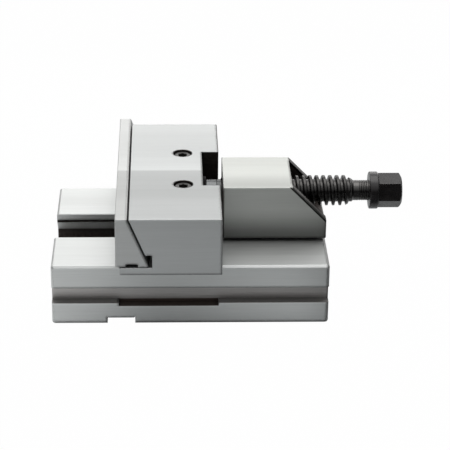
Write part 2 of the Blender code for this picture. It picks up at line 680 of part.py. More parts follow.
def make_guide_block(material):
    """The slider that holds the jaw down: flange, neck and the foot that runs under the rails' lips."""
    neck = CHANNEL_WIDTH / 2 - FIT_GAP
    foot = UNDERCUT_HALF_WIDTH - FIT_GAP
    slope = UNDERCUT_DROP / UNDERCUT_REACH
    shoulder = UNDERCUT_BOTTOM - FIT_GAP
    outline = mirrored([
        (GUIDE_FLANGE_WIDTH / 2, FLANGE_TOP),
        (GUIDE_FLANGE_WIDTH / 2, FLANGE_BOTTOM),
        (neck, FLANGE_BOTTOM),
        (neck, shoulder + (foot - neck) * slope),
        (foot, shoulder),
        (foot, CHANNEL_FLOOR + GUIDE_FLOOR_CLEARANCE),
    ])
    guide = add_object("guide_block", prism(outline, "X", GUIDE_FRONT_X, GUIDE_REAR_X), material)
    side = GUIDE_FLANGE_WIDTH / 2 + CUT_OVERRUN
    neck_top = JAW_SOLE - FIT_GAP
    ahead = block(
        (GUIDE_FRONT_X - CUT_OVERRUN, -side, neck_top),
        (FLANGE_FRONT_X, side, FLANGE_TOP + CUT_OVERRUN),
    )
    behind = block(
        (FLANGE_REAR_X, -side, neck_top),
        (GUIDE_REAR_X + CUT_OVERRUN, side, FLANGE_TOP + CUT_OVERRUN),
    )
    cut(guide, add_object("guide_front_cutter", ahead), add_object("guide_rear_cutter", behind))
    screw = M6_DIAMETER / 2 + FIT_GAP
    screw_hole = [(FLANGE_BOTTOM - CUT_OVERRUN, screw), (FLANGE_TOP + CUT_OVERRUN, screw)]
    dowel = DOWEL_DIAMETER / 2 + FIT_GAP
    dowel_hole = [(FLANGE_TOP - DOWEL_LENGTH / 2 - FIT_GAP, dowel), (FLANGE_TOP + CUT_OVERRUN, dowel)]
    for name, sign in SIDES:
        screw_y = sign * GUIDE_SCREW_SPACING / 2
        cut(
            guide,
            bore("guide_thread_cutter_" + name, screw_hole, (GUIDE_SCREW_X, screw_y, 0), UPRIGHT),
            bore("guide_dowel_cutter_" + name, dowel_hole, (DOWEL_X, screw_y, 0), UPRIGHT),
        )
    return guide


def pin_profile(diameter, length):
    """A plain pin along +X from the origin, with broken ends."""
    edge = diameter / 12
    radius = diameter / 2
    return [(0, radius - edge), (edge, radius), (length - edge, radius), (length, radius - edge)]


def make_guide_fittings(name, sign, material, pin_steel):
    """One side's screw and dowel between the jaw and the guide block."""
    screw_y = sign * GUIDE_SCREW_SPACING / 2
    screw_at = (GUIDE_SCREW_X, screw_y, GUIDE_SCREW_SEAT)
    screw = cap_screw("guide_screw_" + name, M6_SIZES, GUIDE_SCREW_LENGTH, material, screw_at, UPRIGHT)
    dowel_at = (DOWEL_X, screw_y, FLANGE_TOP - DOWEL_LENGTH / 2)
    dowel_mesh = turned(pin_profile(DOWEL_DIAMETER, DOWEL_LENGTH))
    dowel = add_object("guide_dowel_" + name, dowel_mesh, pin_steel, dowel_at, UPRIGHT)
    return screw, dowel


def make_support(material):
    """The nut block: a sloped tail with a trough for the spindle, on a stem with a foot under the lips."""
    half = SUPPORT_WIDTH / 2
    outline = [
        (SUPPORT_FRONT_X, SUPPORT_BOTTOM),
        (SUPPORT_REAR_X, SUPPORT_BOTTOM),
        (SUPPORT_REAR_X, SUPPORT_BOTTOM + SUPPORT_TAIL_HEIGHT),
        (NUT_REAR_X, SUPPORT_TOP),
        (SUPPORT_FRONT_X, SUPPORT_TOP),
    ]
    support = add_object("support_block", prism(outline, "Y", -half, half, EDGE_CHAMFER), material)
    neck = CHANNEL_WIDTH / 2 - FIT_GAP
    foot = UNDERCUT_HALF_WIDTH - FIT_GAP
    shoulder = UNDERCUT_BOTTOM - KEY_ENGAGEMENT - FIT_GAP
    slope = UNDERCUT_DROP / UNDERCUT_REACH
    stem_outline = mirrored([
        (neck, SUPPORT_BOTTOM + SUPPORT_CLEARANCE),
        (neck, shoulder + (foot - neck) * slope),
        (foot, shoulder),
        (foot, CHANNEL_FLOOR + FIT_GAP),
    ])
    stem_front = SUPPORT_FRONT_X + STEM_SETBACK
    join(support, add_object("stem", prism(stem_outline, "X", stem_front, stem_front + STEM_LENGTH)))
    trough_half = half - SUPPORT_WALL
    trough = block(
        (NUT_REAR_X, -trough_half, BASE_HEIGHT + SUPPORT_TROUGH_FLOOR),
        (SUPPORT_REAR_X + CUT_OVERRUN, trough_half, SUPPORT_TOP + CUT_OVERRUN),
    )
    thread = THREAD_DIAMETER / 2 + FIT_GAP
    thread_hole = [(SUPPORT_FRONT_X - CUT_OVERRUN, thread), (NUT_REAR_X + CUT_OVERRUN, thread)]
    seat = [(-foot - CUT_OVERRUN, KEY_SEAT_RADIUS), (foot + CUT_OVERRUN, KEY_SEAT_RADIUS)]
    cut(
        support,
        add_object("trough_cutter", trough),
        bore("nut_bore_cutter", thread_hole, (0, 0, AXIS_Z)),
        bore("support_key_cutter", seat, (KEY_X, 0, KEY_Z), (0, 0, math.pi / 2)),
    )
    tapped = M4_DIAMETER / 2 + FIT_GAP
    screw_seat = KEY_Z - KEY_DIAMETER / 2 + KEY_SCREW_SINK + M4_HEAD_HEIGHT
    for name, sign in SIDES:
        hole = [(KEY_Z, tapped), (screw_seat + KEY_SCREW_LENGTH + FIT_GAP, tapped)]
        cut(support, bore("key_thread_" + name, hole, (KEY_X, sign * KEY_SCREW_SPACING / 2, 0), UPRIGHT))
    return support


def make_support_key(key_steel, screw_steel):
    """The cross pin that drops into the base's half-round seats, and its two screws from below."""
    half = UNDERCUT_HALF_WIDTH - 2 * FIT_GAP
    profile = pin_profile(KEY_DIAMETER, 2 * half)
    key = add_object("support_key", turned(profile), key_steel, (KEY_X, -half, KEY_Z), (0, 0, math.pi / 2))
    screw_seat = KEY_Z - KEY_DIAMETER / 2 + KEY_SCREW_SINK + M4_HEAD_HEIGHT
    shank = M4_DIAMETER / 2 + FIT_GAP
    head = M4_HEAD_DIAMETER / 2 + FIT_GAP
    hole = [
        (KEY_Z - KEY_DIAMETER / 2 - CUT_OVERRUN, head),
        (screw_seat + FIT_GAP, head),
        (screw_seat + FIT_GAP, shank),
        (KEY_Z + KEY_DIAMETER / 2 + CUT_OVERRUN, shank),
    ]
    made = [key]
    for name, sign in SIDES:
        screw_y = sign * KEY_SCREW_SPACING / 2
        cut(key, bore("key_hole_cutter_" + name, hole, (KEY_X, screw_y, 0), UPRIGHT))
        screw_at = (KEY_X, screw_y, screw_seat)
        downward = (0, math.pi / 2, 0)
        screw_name = "support_key_screw_" + name
        made.append(cap_screw(screw_name, M4_SIZES, KEY_SCREW_LENGTH, screw_steel, screw_at, downward))
    return made


def thread_reach(along, height):
    """Radius of a thread point: its full height above the core, faded out at both ends of the thread."""
    core = THREAD_DIAMETER / 2 - THREAD_DEPTH
    lead_in = (along - THREAD_START_X) / THREAD_LEAD_IN
    run_out = (THREAD_END_X - along) / THREAD_PITCH
    return core + height * max(0.0, min(1.0, lead_in, run_out))


def add_thread(bm):
    """The right-hand trapezoidal thread, as a strip of faces that climbs one pitch in each turn."""
    flank = THREAD_DEPTH * math.tan(THREAD_FLANK_ANGLE)
    crest = THREAD_PITCH * THREAD_CREST_SHARE
    knots = [(0, 0), (flank, THREAD_DEPTH), (flank + crest, THREAD_DEPTH), (2 * flank + crest, 0)]
    turns = math.ceil(THREAD_LENGTH / THREAD_PITCH) + 2
    rows = []
    for step in range(turns * ROUND_SEGMENTS + 1):
        climb = THREAD_START_X + THREAD_PITCH * (step / ROUND_SEGMENTS - 1)
        row = []
        for offset, height in knots:
            along = min(max(climb + offset, THREAD_START_X), THREAD_END_X)
            reach = thread_reach(along, height)
            row.append(bm.verts.new(on_circle(along, reach, step + THREAD_TURN_SEGMENTS)))
        rows.append(row)
    for step in range((turns - 1) * ROUND_SEGMENTS):
        here, after = rows[step], rows[step + 1]
        for knot in range(len(knots) - 1):
            bm.faces.new((here[knot], after[knot], after[knot + 1], here[knot + 1]))
        above, above_after = rows[step + ROUND_SEGMENTS], rows[step + ROUND_SEGMENTS + 1]
        bm.faces.new((here[-1], after[-1], above_after[0], above[0]))


def add_turned_end(bm, profile, hex_from=None):
    """Rings of one plain end of the spindle, closed at its tip and left open at the thread."""
    rings = []
    for index, (along, radius) in enumerate(profile):
        ring = []
        for step in range(ROUND_SEGMENTS):
            reach = radius
            if hex_from is not None and index >= hex_from:
                turn = (step - HEX_TURN_SEGMENTS) * math.tau / ROUND_SEGMENTS
                from_flat = turn % (math.pi / 3) - math.pi / 6
                reach = min(radius, HEX_ACROSS_FLATS / 2 / math.cos(from_flat))
            ring.append(bm.verts.new(on_circle(along, reach, step)))
        rings.append(ring)
    for ring, following in zip(rings, rings[1:]):
        for step in range(ROUND_SEGMENTS):
            after = (step + 1) % ROUND_SEGMENTS
            bm.faces.new((ring[step], ring[after], following[after], following[step]))
    bm.faces.new(rings[-1])


def nose_profile():
    """From the thread's start forwards: journal with its narrow groove, shoulder, pin groove and tip."""
    journal = JOURNAL_DIAMETER / 2
    nose = NOSE_DIAMETER / 2
    groove_rear = JOURNAL_X + JOURNAL_GROOVE_SETBACK + JOURNAL_GROOVE_WIDTH
    groove_front = groove_rear - JOURNAL_GROOVE_WIDTH
    pin_room = NOSE_PIN_DIAMETER / 2 + FIT_GAP
    return [
        (THREAD_START_X, journal),
        (groove_rear, journal),
        (groove_rear, journal - JOURNAL_GROOVE_DEPTH),
        (groove_front, journal - JOURNAL_GROOVE_DEPTH),
        (groove_front, journal),
        (JOURNAL_X, journal),
        (JOURNAL_X, nose),
        (NOSE_PIN_X + pin_room, nose),
        (NOSE_PIN_X + pin_room, NOSE_GROOVE_DIAMETER / 2),
        (NOSE_PIN_X - pin_room, NOSE_GROOVE_DIAMETER / 2),
        (NOSE_PIN_X - pin_room, nose),
        (NOSE_TIP_X + NOSE_CHAMFER, nose),
        (NOSE_TIP_X, nose - NOSE_CHAMFER),
    ]


def drive_profile():
    """From the thread's end rearwards: shank, collar, neck and hexagon, with the hexagon's first index."""
    shank = SHANK_DIAMETER / 2
    collar = COLLAR_DIAMETER / 2
    neck = NECK_DIAMETER / 2
    corner = HEX_ACROSS_FLATS / 2 / math.cos(math.pi / 6)
    face = HEX_ACROSS_FLATS / 2 * HEX_FACE_SHARE
    bevel = (corner - face) * math.tan(HEX_CHAMFER_ANGLE)
    collar_x = THREAD_END_X + SHANK_LENGTH
    neck_x = collar_x + COLLAR_LENGTH
    hex_x = neck_x + NECK_LENGTH
    end_x = hex_x + HEX_LENGTH
    plain = [
        (THREAD_END_X, JOURNAL_DIAMETER / 2),
        (THREAD_END_X + SHANK_TAPER, shank),
        (collar_x, shank),
        (collar_x, collar - COLLAR_CHAMFER),
        (collar_x + COLLAR_CHAMFER, collar),
        (neck_x - COLLAR_CHAMFER, collar),
        (neck_x, collar - COLLAR_CHAMFER),
        (neck_x, neck),
        (hex_x, neck),
    ]
    hexagonal = [
        (hex_x, corner),
        (end_x - bevel, corner),
        (end_x - bevel / 2, (corner + face) / 2),
        (end_x, face),
    ]
    return plain + hexagonal, len(plain)


def make_spindle(material):
    bm = bmesh.new()
    add_thread(bm)
    add_turned_end(bm, nose_profile())
    profile, hex_from = drive_profile()
    add_turned_end(bm, profile, hex_from)
    bmesh.ops.remove_doubles(bm, verts=bm.verts, dist=WELD_DISTANCE)
    return add_object("spindle", bm, material, (0, 0, AXIS_Z))


def make_nose_fittings(washer_steel, pin_steel):
    """The thrust washer on the notch's wall, and the two pins that hold the spindle's nose in the jaw."""
    hole = NOSE_DIAMETER / 2 + FIT_GAP
    washer_mesh = ring_solid(hole, THRUST_WASHER_DIAMETER / 2, 0, THRUST_WASHER_THICKNESS)
    made = [add_object("thrust_washer", washer_mesh, washer_steel, (NOTCH_WALL_X + FIT_GAP, 0, AXIS_Z))]
    for name, sign in SIDES:
        pin_at = (NOSE_PIN_X, sign * NOSE_PIN_Y, FLANGE_TOP + FIT_GAP)
        mesh = turned(pin_profile(NOSE_PIN_DIAMETER, NOSE_PIN_LENGTH))
        made.append(add_object("nose_pin_" + name, mesh, pin_steel, pin_at, UPRIGHT))
    return made


def main():
    clear_scene()
    ground_steel = steel("ground_steel", (0.60, 0.61, 0.62), 0.34)
    hard_steel = steel("hardened_plate_steel", (0.62, 0.63, 0.63), 0.30)
    slider_steel = steel("slider_steel", (0.40, 0.41, 0.42), 0.42)
    black_steel = steel("black_oxide_steel", (0.035, 0.035, 0.038), 0.38)
    screw_steel = steel("screw_steel", (0.045, 0.045, 0.05), 0.42)
    pin_steel = steel("bright_pin_steel", (0.66, 0.66, 0.66), 0.22)
    spring_steel = steel("spring_steel", (0.45, 0.45, 0.46), 0.30)

    make_base(ground_steel)
    make_support(ground_steel)
    make_support_key(pin_steel, screw_steel)

    jaw_carriage = add_empty("jaw_carriage", (0, 0, BASE_HEIGHT))
    plate_carriage = add_empty("plate_carriage", (0, 0, LEDGE_TOP))
    spindle_axis = add_empty("spindle_axis", (0, 0, AXIS_Z))
    carry(jaw_carriage, make_jaw_body(ground_steel), make_guide_block(slider_steel))
    carry(jaw_carriage, *make_nose_fittings(black_steel, pin_steel))
    carry(plate_carriage, make_jaw_plate(hard_steel))
    carry(spindle_axis, make_spindle(black_steel))
    for name, sign in SIDES:
        screw, washer, spring = make_plate_fittings(name, sign, screw_steel, spring_steel)
        carry(plate_carriage, screw, washer)
        carry(jaw_carriage, spring)
        carry(jaw_carriage, *make_guide_fittings(name, sign, screw_steel, pin_steel))
    carry(jaw_carriage, plate_carriage, spindle_axis)


main()
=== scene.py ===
"""Looks of the moving-jaw unit of a modular vise: finishes, fine fittings, studio and camera."""

import json
import math

import bmesh
import bpy
from mathutils import Matrix, Vector


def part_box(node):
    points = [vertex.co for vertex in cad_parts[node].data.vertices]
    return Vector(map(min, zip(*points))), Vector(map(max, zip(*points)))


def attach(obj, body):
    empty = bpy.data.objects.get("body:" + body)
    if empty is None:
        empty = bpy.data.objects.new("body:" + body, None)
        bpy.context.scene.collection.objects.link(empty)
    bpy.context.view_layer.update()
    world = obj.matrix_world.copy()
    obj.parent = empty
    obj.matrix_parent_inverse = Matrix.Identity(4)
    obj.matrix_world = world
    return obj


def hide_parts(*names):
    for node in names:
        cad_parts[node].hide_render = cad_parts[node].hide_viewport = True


MM = 0.001

# Camera, fitted to the photograph's 450 pixel frame
PHOTO_PIXELS = 450
FOCAL_PIXELS = 1870.0
SENSOR = 36.0  # in millimetres, as the lens is
CAMERA_AT = (-13.12 * MM, -1013.7 * MM, 514.85 * MM)
CAMERA_YAW = math.radians(1.947)
CAMERA_PITCH = math.radians(25.23)
CAMERA_ROLL = math.radians(0.643)

# Round pieces
FINE_SEGMENTS = 72
CURVE_STEPS = 4
CURVE_DIVISOR = 2.01  # a curve takes a little under half of the shorter run beside its corner
WELD_DISTANCE = 0.001 * MM
SHARP_ANGLE = math.radians(32)

# Spindle
SPINDLE_THREAD = {"diameter": 18 * MM, "pitch": 4 * MM, "depth": 2.25 * MM, "crest_share": 0.366, "flank": 15}
CREST_ROUND = 0.28 * MM
THREAD_START_X = 18.43 * MM
THREAD_END_X = 96.43 * MM
THREAD_RUN_IN = 1 * MM
THREAD_TURN = math.radians(90)
COLLAR_X = 106.63 * MM
COLLAR_RADIUS = 11.05 * MM
COLLAR_LENGTH = 5.2 * MM
COLLAR_ROUND = 0.7 * MM
SHANK_RADIUS = 6 * MM
SHANK_SHOULDER = 0.8 * MM
SHANK_GROOVES = 5
SHANK_GROOVE_DEPTH = 0.18 * MM
SHANK_GROOVE_PITCH = 1.05 * MM
SHANK_GROOVE_PROFILE = ((-0.28, 0), (-0.1, 1), (0.1, 1), (0.28, 0))  # shares of the pitch and of the depth
SHANK_GROOVES_START = COLLAR_X - (SHANK_GROOVES + 0.5) * SHANK_GROOVE_PITCH
NECK_RADIUS = 8.5 * MM
NECK_LENGTH = 0.4 * MM
HEX_FLAT = 9 * MM
HEX_TURN = math.radians(15)
HEX_BEVEL_ANGLE = math.radians(30)
HEX_FACE_SHARE = 0.89
NOSE_RADIUS = 5 * MM
NOSE_CHAMFER = 0.6 * MM
NOSE_GROOVE_RADIUS = 3 * MM
NOSE_GROOVE = (-3.3 * MM, 1.3 * MM)
JOURNAL_X = 10 * MM
JOURNAL_GROOVE = (15.8 * MM, 16.2 * MM)
JOURNAL_GROOVE_DEPTH = 0.5 * MM

# Socket head screws
M6 = {"diameter": 6 * MM, "head": 10 * MM, "height": 6 * MM, "socket": 5 * MM, "socket_depth": 3 * MM, "pitch": 1 * MM}
M4 = {"diameter": 4 * MM, "head": 7 * MM, "height": 4 * MM, "socket": 3 * MM, "socket_depth": 2 * MM, "pitch": 0.7 * MM}
SCREW_SEGMENTS = 48
SCREW_THREAD_SEGMENTS = 24
SCREW_THREAD_FORM = {"crest_share": 0.12, "flank": 30}
SCREW_PLAIN_SHARE = 0.2
SCREW_CREST_ROUND = 0.06 * MM
SCREW_FILLET = 0.3 * MM
THREAD_DEPTH_SHARE = 0.6
KNURL_DEPTH = 0.12 * MM
HEAD_CHAMFER = 0.2 * MM
HEAD_ROUND = 0.8 * MM
SOCKET_BEVEL = 0.3 * MM
SOCKET_CONE = 0.8 * MM

# Shader nodes
MAP_INPUTS = ("Value", "From Min", "From Max", "To Min", "To Max")
BEVEL_SAMPLES = 4
CORNER_SAMPLES = 6
NOISE_ROUGHNESS = 0.55
NOISE_SPAN = (0.3, 0.7)  # holds most of a noise's values
BAND_SPAN = (0.35, 0.65)
RUBBED_SPAN = (0.4, 0.65)

# Noises: cells per metre, or one number for each axis, and detail
GRIND_ALONG_X = ((60, 2600, 2600), 2.0)
GRIND_ALONG_Y = ((2600, 60, 2600), 2.0)
GRIND_PASSES = ((6, 260, 260), 2.0)
STEEL_BANDS = ((3, 25, 25), 1.0)
SCALE_SPECKS = (700, 4.0)
OXIDE_TURNING = ((5200, 120, 120), 2.0)
OXIDE_CLOUDS = (160, 4.0)
RUBBED_SPECKS = (1500, 2.0)
PIN_RINGS = ((900, 900, 6000), 2.0)

# Parts of the unit normal between which a face or an edge starts to count
FACING_END = (0.6, 0.8)
FACING_SIDE = (0.5, 0.8)
FACING_TOP = (0.8, 0.95)
FACING_UP = (0.3, 0.6)
UPPER_EDGE = (-0.1, 0.35)
ENDWARD_EDGE = (0.2, 0.45)
REARWARD_EDGE = (-0.3, -0.05)  # an edge that faces further forwards keeps its tone
END_EDGE_TILT = (0.4, 0.46)

# Ground steel. A tone is a factor of the colour, and a relief has a strength and a depth
BASE_STEEL = (0.62, 0.635, 0.63)
JAW_STEEL = (0.53, 0.545, 0.545)
SUPPORT_STEEL = (0.59, 0.605, 0.58)
PLATE_STEEL = (0.57, 0.58, 0.575)
SLIDER_STEEL = (0.38, 0.39, 0.40)
MILLED_STEEL = (0.48, 0.465, 0.455)
# Pocket floors: a darker steel, also painted shade under the lip above them
POCKET_STEEL_AND_SHADE = (0.14, 0.11, 0.095)
SLOPE_STEEL = (0.16, 0.152, 0.147)
# Scale of hardening in the hollows, also painted shade there and in the gap under the support
HARDENING_SCALE_AND_SHADE = (0.045, 0.036, 0.033)
STEEL_METALLIC = 0.7
STEEL_ROUGHNESS = 0.43
STEEL_ROUGHNESS_SPREAD = (-0.03, 0.04)
MILLED_ROUGHNESS = 0.45
SCALE_ROUGHNESS = 0.5
STEEL_RELIEF = (0.06, 0.02 * MM)
GRAIN_SHARE = 0.5
GRAIN_TONES = (0.955, 1.045)
BAND_TONES = (0.95, 1.05)
STREAK_TONES = (0.88, 1.12)
SPECK_TONES = (0.75, 1.25)
EDGE_AGREEMENT = (0.995, 0.92)  # of the rounded normal with the flat one, on a face and on an edge
EDGE_ROUND = 0.35 * MM
# Painted highlight on upper edges and painted shade on lower ones and across the rear: their reach and their tones
EDGE_LIGHT_REACH = 2.4 * MM
EDGE_HIGHLIGHT = 1.15
EDGE_SHADE = 0.12
# painted shade on the chamfers across a block's ends
END_CHAMFER_SHADE = 0.03
# Painted shade in corners and narrow gaps
CORNER_REACH = 4 * MM
CORNER_OPEN = (0.3, 0.95)  # open share of the surroundings, in the darkest corner and on a free face
CORNER_SHADE = 0.55
# Painted reflection on the top faces: a step of tone along X
JAW_REFLECTION_STEP = (-3 * MM, 2 * MM, 0.12)  # place across and half width of the change of tone, and share paler past it
SUPPORT_REFLECTION_STEP = (-8 * MM, 11 * MM, 0.06)
REFLECTION_STEP_TONE = 0.2
REFLECTION_STEP_NEAR = (-75 * MM, -20 * MM)  # from the change of tone, where half and where all of the step's darkening is reached
REFLECTION_STEP_FAR = 45 * MM  # from the change of tone, where the share paler has fallen to the share below
REFLECTION_STEP_FAR_SHARE = -0.03
# Painted light and shade on the base: lit ends and near side of the top, shaded ledges
BASE_LIT_ENDS = (1.17, 1.1)  # tones at the front and at the rear
BASE_FRONT_FADE = (-60 * MM, -10 * MM)
BASE_REAR_FADE = (10 * MM, 75 * MM)
BASE_LIT_TOP = (1.1, 0.94)  # towards the near side and towards the far one
BASE_TOP_FADE = (-50 * MM, 50 * MM)
LEDGE_SHADE = 0.6
# Painted shade on the support's sides: towards the foot, and a dark line along the slope
SUPPORT_FOOT = (20 * MM, 0.3)  # height of the darker part, and its lowest tone
SLOPE_SKIN = 0.12 * MM  # how far below its plane the slope's finish reaches
SLOPE_RIM = 1.2 * MM  # width of the dark line on the sides, along the slope
SLOPE_RIM_SOFT = 0.3 * MM
SLOPE_RIM_TONE = 0.02
SLOPE_LINE = (19.0 * MM, 20.6 * MM)  # across, the paler line that wear leaves along each slope
SLOPE_LINE_SOFT = 0.4 * MM
SLOPE_LINE_TONES = (0.3, 0.1)  # inward and outward of the line

# Black oxide and the spindle
BLACK_OXIDE = (0.009, 0.0075, 0.008)
SCREW_OXIDE = (0.022, 0.02, 0.018)
RUBBED_OXIDE = (0.5, 0.49, 0.48)
TURNED_STEEL = (0.1, 0.098, 0.096)
JOURNAL_STEEL = (0.29, 0.3, 0.305)
WASHER_LOOK = {"roughness": 0.5, "shine": 0.05, "wear": 0.1}
SCREW_LOOK = {"roughness": 0.34, "shine": 0.4, "wear": 0.45}
SPINDLE_LOOK = {"roughness": 0.27, "shine": 0.5, "wear": 1.0}
OXIDE_IOR = 1.6
OXIDE_ROUGHNESS_SPREAD = (-0.06, 0.08)
OXIDE_RELIEF = (0.03, 0.03 * MM)
OXIDE_TONES = (0.7, 1.35)
OXIDE_EDGE = 0.3 * MM
TURNING_SHARE = 0.4  # of the turning marks in the tone, beside the clouds
RUBBED_SHARES = (0.15, 0.75)
JOURNAL_POLISH = (0.33, 0.45)  # of the duller part and of the bright one
JOURNAL_TONES = (0.8, 1.15)
THREAD_TONE = 0.7
FLANK_ROOT = (0.1 * MM, 0.4 * MM)  # from the thread's root
FLANK_CREST = (-0.5 * MM, -0.2 * MM)  # from its crest
FLANK_OXIDE = 0.95
RING_WAVE = (-0.6, 0.2)  # of a cosine that is -1 in the middle of a groove
# painted shade in the middle of each groove on the shank
RING_SHADE = 0.55

# Pins and springs
PIN_STEEL = (0.62, 0.62, 0.62)
SPRING_STEEL = (0.42, 0.42, 0.43)
PIN_ROUGHNESS = 0.22
SPRING_ROUGHNESS = 0.3
PIN_ROUGHNESS_SPREAD = (-0.04, 0.06)
PIN_RELIEF = (0.08, 0.01 * MM)
PIN_TONES = (0.9, 1.08)

# Studio
WHITE = (1.0, 1.0, 1.0)
WARM_WHITE = (1.0, 0.985, 0.965)
ROOM_HORIZON = (0.03, 0.03, 0.03)
ROOM_FRONT = (0.45, 0.45, 0.45)
ROOM_TOP = (0.9, 0.9, 0.9)
ROOM_LIGHT = (0.3, 0.3, 0.3)
ROOM_BACK = (-0.2, 0.4)  # part of a direction along Y, where the front ends and where the back starts
ROOM_FOOT = (0.3, 0.16)  # rise of the horizon's end at the front and at the back
ROOM_FOOT_SOFT = 0.16
ROOM_TOP_RISE = (0.6, 0.85)
FLOOR_HALF = 3.0
FLOOR_CELLS = 8
FLOOR_DROP = 0.02 * MM
FLOOR_PAPER = (0.775, 0.8, 0.815)
FLOOR_ROUGHNESS = 0.9
FLOOR_SHINE = 0.1
FLOOR_WHITE_SHARE = 0.99
FLOOR_GLOSSY_SHARE = 0.1
FLOOR_LEFT_SHARE = 0.5
FLOOR_LEFT = (-0.09, -0.03)  # along X, where reflections of the floor turn less white
FLOOR_FAR = (0.25, 0.45)  # along Y to both sides, where they turn dark
FLOOR_FLAG_ALONG = (0.06, 0.1)  # and where they turn dark on the near side of the spindle's rear
FLOOR_FLAG_ACROSS = (-0.04, -0.02)
FLOOR_DARK = 0.9
SOFTBOXES = {  # place, aim, size and radiance
    "back_softbox": ((0.0, 0.36, 0.17), (0, -0.2, 0.03), (0.9, 0.14), 1.45),
    "top_softbox": ((0.0, 0.12, 0.85), (0, 0, 0), (0.9, 0.7), 1.6),
}

# Where the blocks aren't ground
MARGIN = 1 * MM  # past a face, so that the face is inside a box
CHANNEL_HALF = 16 * MM
UNDERCUT_HALF = 24 * MM
UNDERCUT_SPAN = (12.5 * MM, 23.95 * MM)
CHANNEL_TOP = 31.3 * MM
LIP_INSET = 0.25 * MM
RELIEF_DEPTH = 1.4 * MM
RELIEF_TOP = 33.1 * MM
GROOVE_WALL = 49.0 * MM
GROOVE_SPAN = (13.3 * MM, 22.9 * MM)
POCKET_SPAN = (-41.3 * MM, 16.2 * MM)
POCKET_HEIGHTS = (11.5 * MM, 13.3 * MM)
NOTCH_FRONT = 7.3 * MM
NOTCH_HALF = 25.1 * MM
SCREW_POCKET_RADIUS = 5.98 * MM
SCREW_POCKET_INSET = 0.05 * MM
POCKET_RIM = 0.5 * MM
SUPPORT_NUT_LENGTH = 40.3 * MM
TROUGH_HALF = 17.32 * MM
TROUGH_FLOOR = 45 * MM
SOLE_SPAN = (38.6 * MM, 38.95 * MM)
SLOPE_TOP = (59.8 * MM, 71.5 * MM)
SLOPE_FOOT = (80.1 * MM, 50.6 * MM)


def make_camera():
    """The photograph's viewpoint."""
    yaw, pitch = CAMERA_YAW, CAMERA_PITCH
    forward = Vector((math.sin(yaw) * math.cos(pitch), math.cos(yaw) * math.cos(pitch), -math.sin(pitch)))
    level_right = Vector((math.cos(yaw), -math.sin(yaw), 0))
    level_up = level_right.cross(forward)
    right = level_right * math.cos(CAMERA_ROLL) + level_up * math.sin(CAMERA_ROLL)
    up = level_up * math.cos(CAMERA_ROLL) - level_right * math.sin(CAMERA_ROLL)
    data = bpy.data.cameras.new("photo_camera")
    data.sensor_width = SENSOR
    data.lens = FOCAL_PIXELS / PHOTO_PIXELS * SENSOR
    camera = bpy.data.objects.new("photo_camera", data)
    turn = Matrix((right, up, -forward)).transposed()
    camera.matrix_world = Matrix.Translation(CAMERA_AT) @ turn.to_4x4()
    bpy.context.scene.collection.objects.link(camera)
    bpy.context.scene.camera = camera


class Tree:
    """Short words for making and joining shader nodes."""

    def __init__(self, owner):
        owner.use_nodes = True
        self.nodes = owner.node_tree.nodes
        self.links = owner.node_tree.links

    def add(self, kind, **settings):
        """A new node with its settings."""
        node = self.nodes.new("ShaderNode" + kind)
        for name, value in settings.items():
            setattr(node, name, value)
        return node

    def put(self, socket, value):
        """Sets a socket's own value, or links an output to it."""
        if isinstance(value, bpy.types.NodeSocket):
            self.links.new(value, socket)
        elif value is not None:
            socket.default_value = value

    def math(self, operation, first, second=None):
        node = self.add("Math", operation=operation)
        self.put(node.inputs[0], first)
        self.put(node.inputs[1], second)
        return node.outputs[0]

    def product(self, first, *factors):
        """Multiplies numbers."""
        for factor in factors:
            first = self.math("MULTIPLY", first, factor)
        return first

    def span(self, value, low, high, to_low=0.0, to_high=1.0):
        """Maps a value's span to another one, held at both ends."""
        node = self.add("MapRange", interpolation_type="SMOOTHSTEP")
        for name, given in zip(MAP_INPUTS, (value, low, high, to_low, to_high)):
            self.put(node.inputs[name], given)
        return node.outputs["Result"]

    def split(self, vector):
        """The three parts of a vector."""
        node = self.add("SeparateXYZ")
        self.put(node.inputs[0], vector)
        return node.outputs

    def vector(self, operation, first, second=None):
        node = self.add("VectorMath", operation=operation)
        self.put(node.inputs[0], first)
        self.put(node.inputs[1], second)
        return node

    def scaled(self, colour, factor):
        """A colour times a number."""
        node = self.add("VectorMath", operation="SCALE")
        self.put(node.inputs[0], colour)
        self.put(node.inputs["Scale"], factor)
        return node.outputs[0]

    def blend(self, factor, first, second):
        """Mixes two colours, which the Mix node takes in its inputs 6 and 7."""
        node = self.add("Mix", data_type="RGBA")
        self.put(node.inputs[0], factor)
        self.put(node.inputs[6], first)
        self.put(node.inputs[7], second)
        return node.outputs[2]

    def choose(self, factor, first, second):
        """Mixes two numbers, which the Mix node takes in its inputs 2 and 3."""
        node = self.add("Mix", data_type="FLOAT")
        self.put(node.inputs[0], factor)
        self.put(node.inputs[2], first)
        self.put(node.inputs[3], second)
        return node.outputs[0]

    def noise(self, place, scale, detail):
        """Noise over object space, where scale is a number of cells per metre, or one for each axis."""
        if not isinstance(scale, (int, float)):
            mapping = self.add("Mapping")
            self.put(mapping.inputs["Vector"], place)
            self.put(mapping.inputs["Scale"], scale)
            place, scale = mapping.outputs[0], 1.0
        node = self.add("TexNoise")
        self.put(node.inputs["Vector"], place)
        self.put(node.inputs["Scale"], scale)
        self.put(node.inputs["Detail"], detail)
        self.put(node.inputs["Roughness"], NOISE_ROUGHNESS)
        return node.outputs["Fac"]


def paint(colour):
    """A colour with its alpha."""
    return (*colour, 1.0)


def times(values, factor):
    return tuple(value * factor for value in values)


def around(value, spread):
    """A value with each change of a spread added to it."""
    return [value + change for change in spread]


def middle_of(corners):
    """The middle of a box, from its two corners."""
    return sum(corners, Vector()) / 2


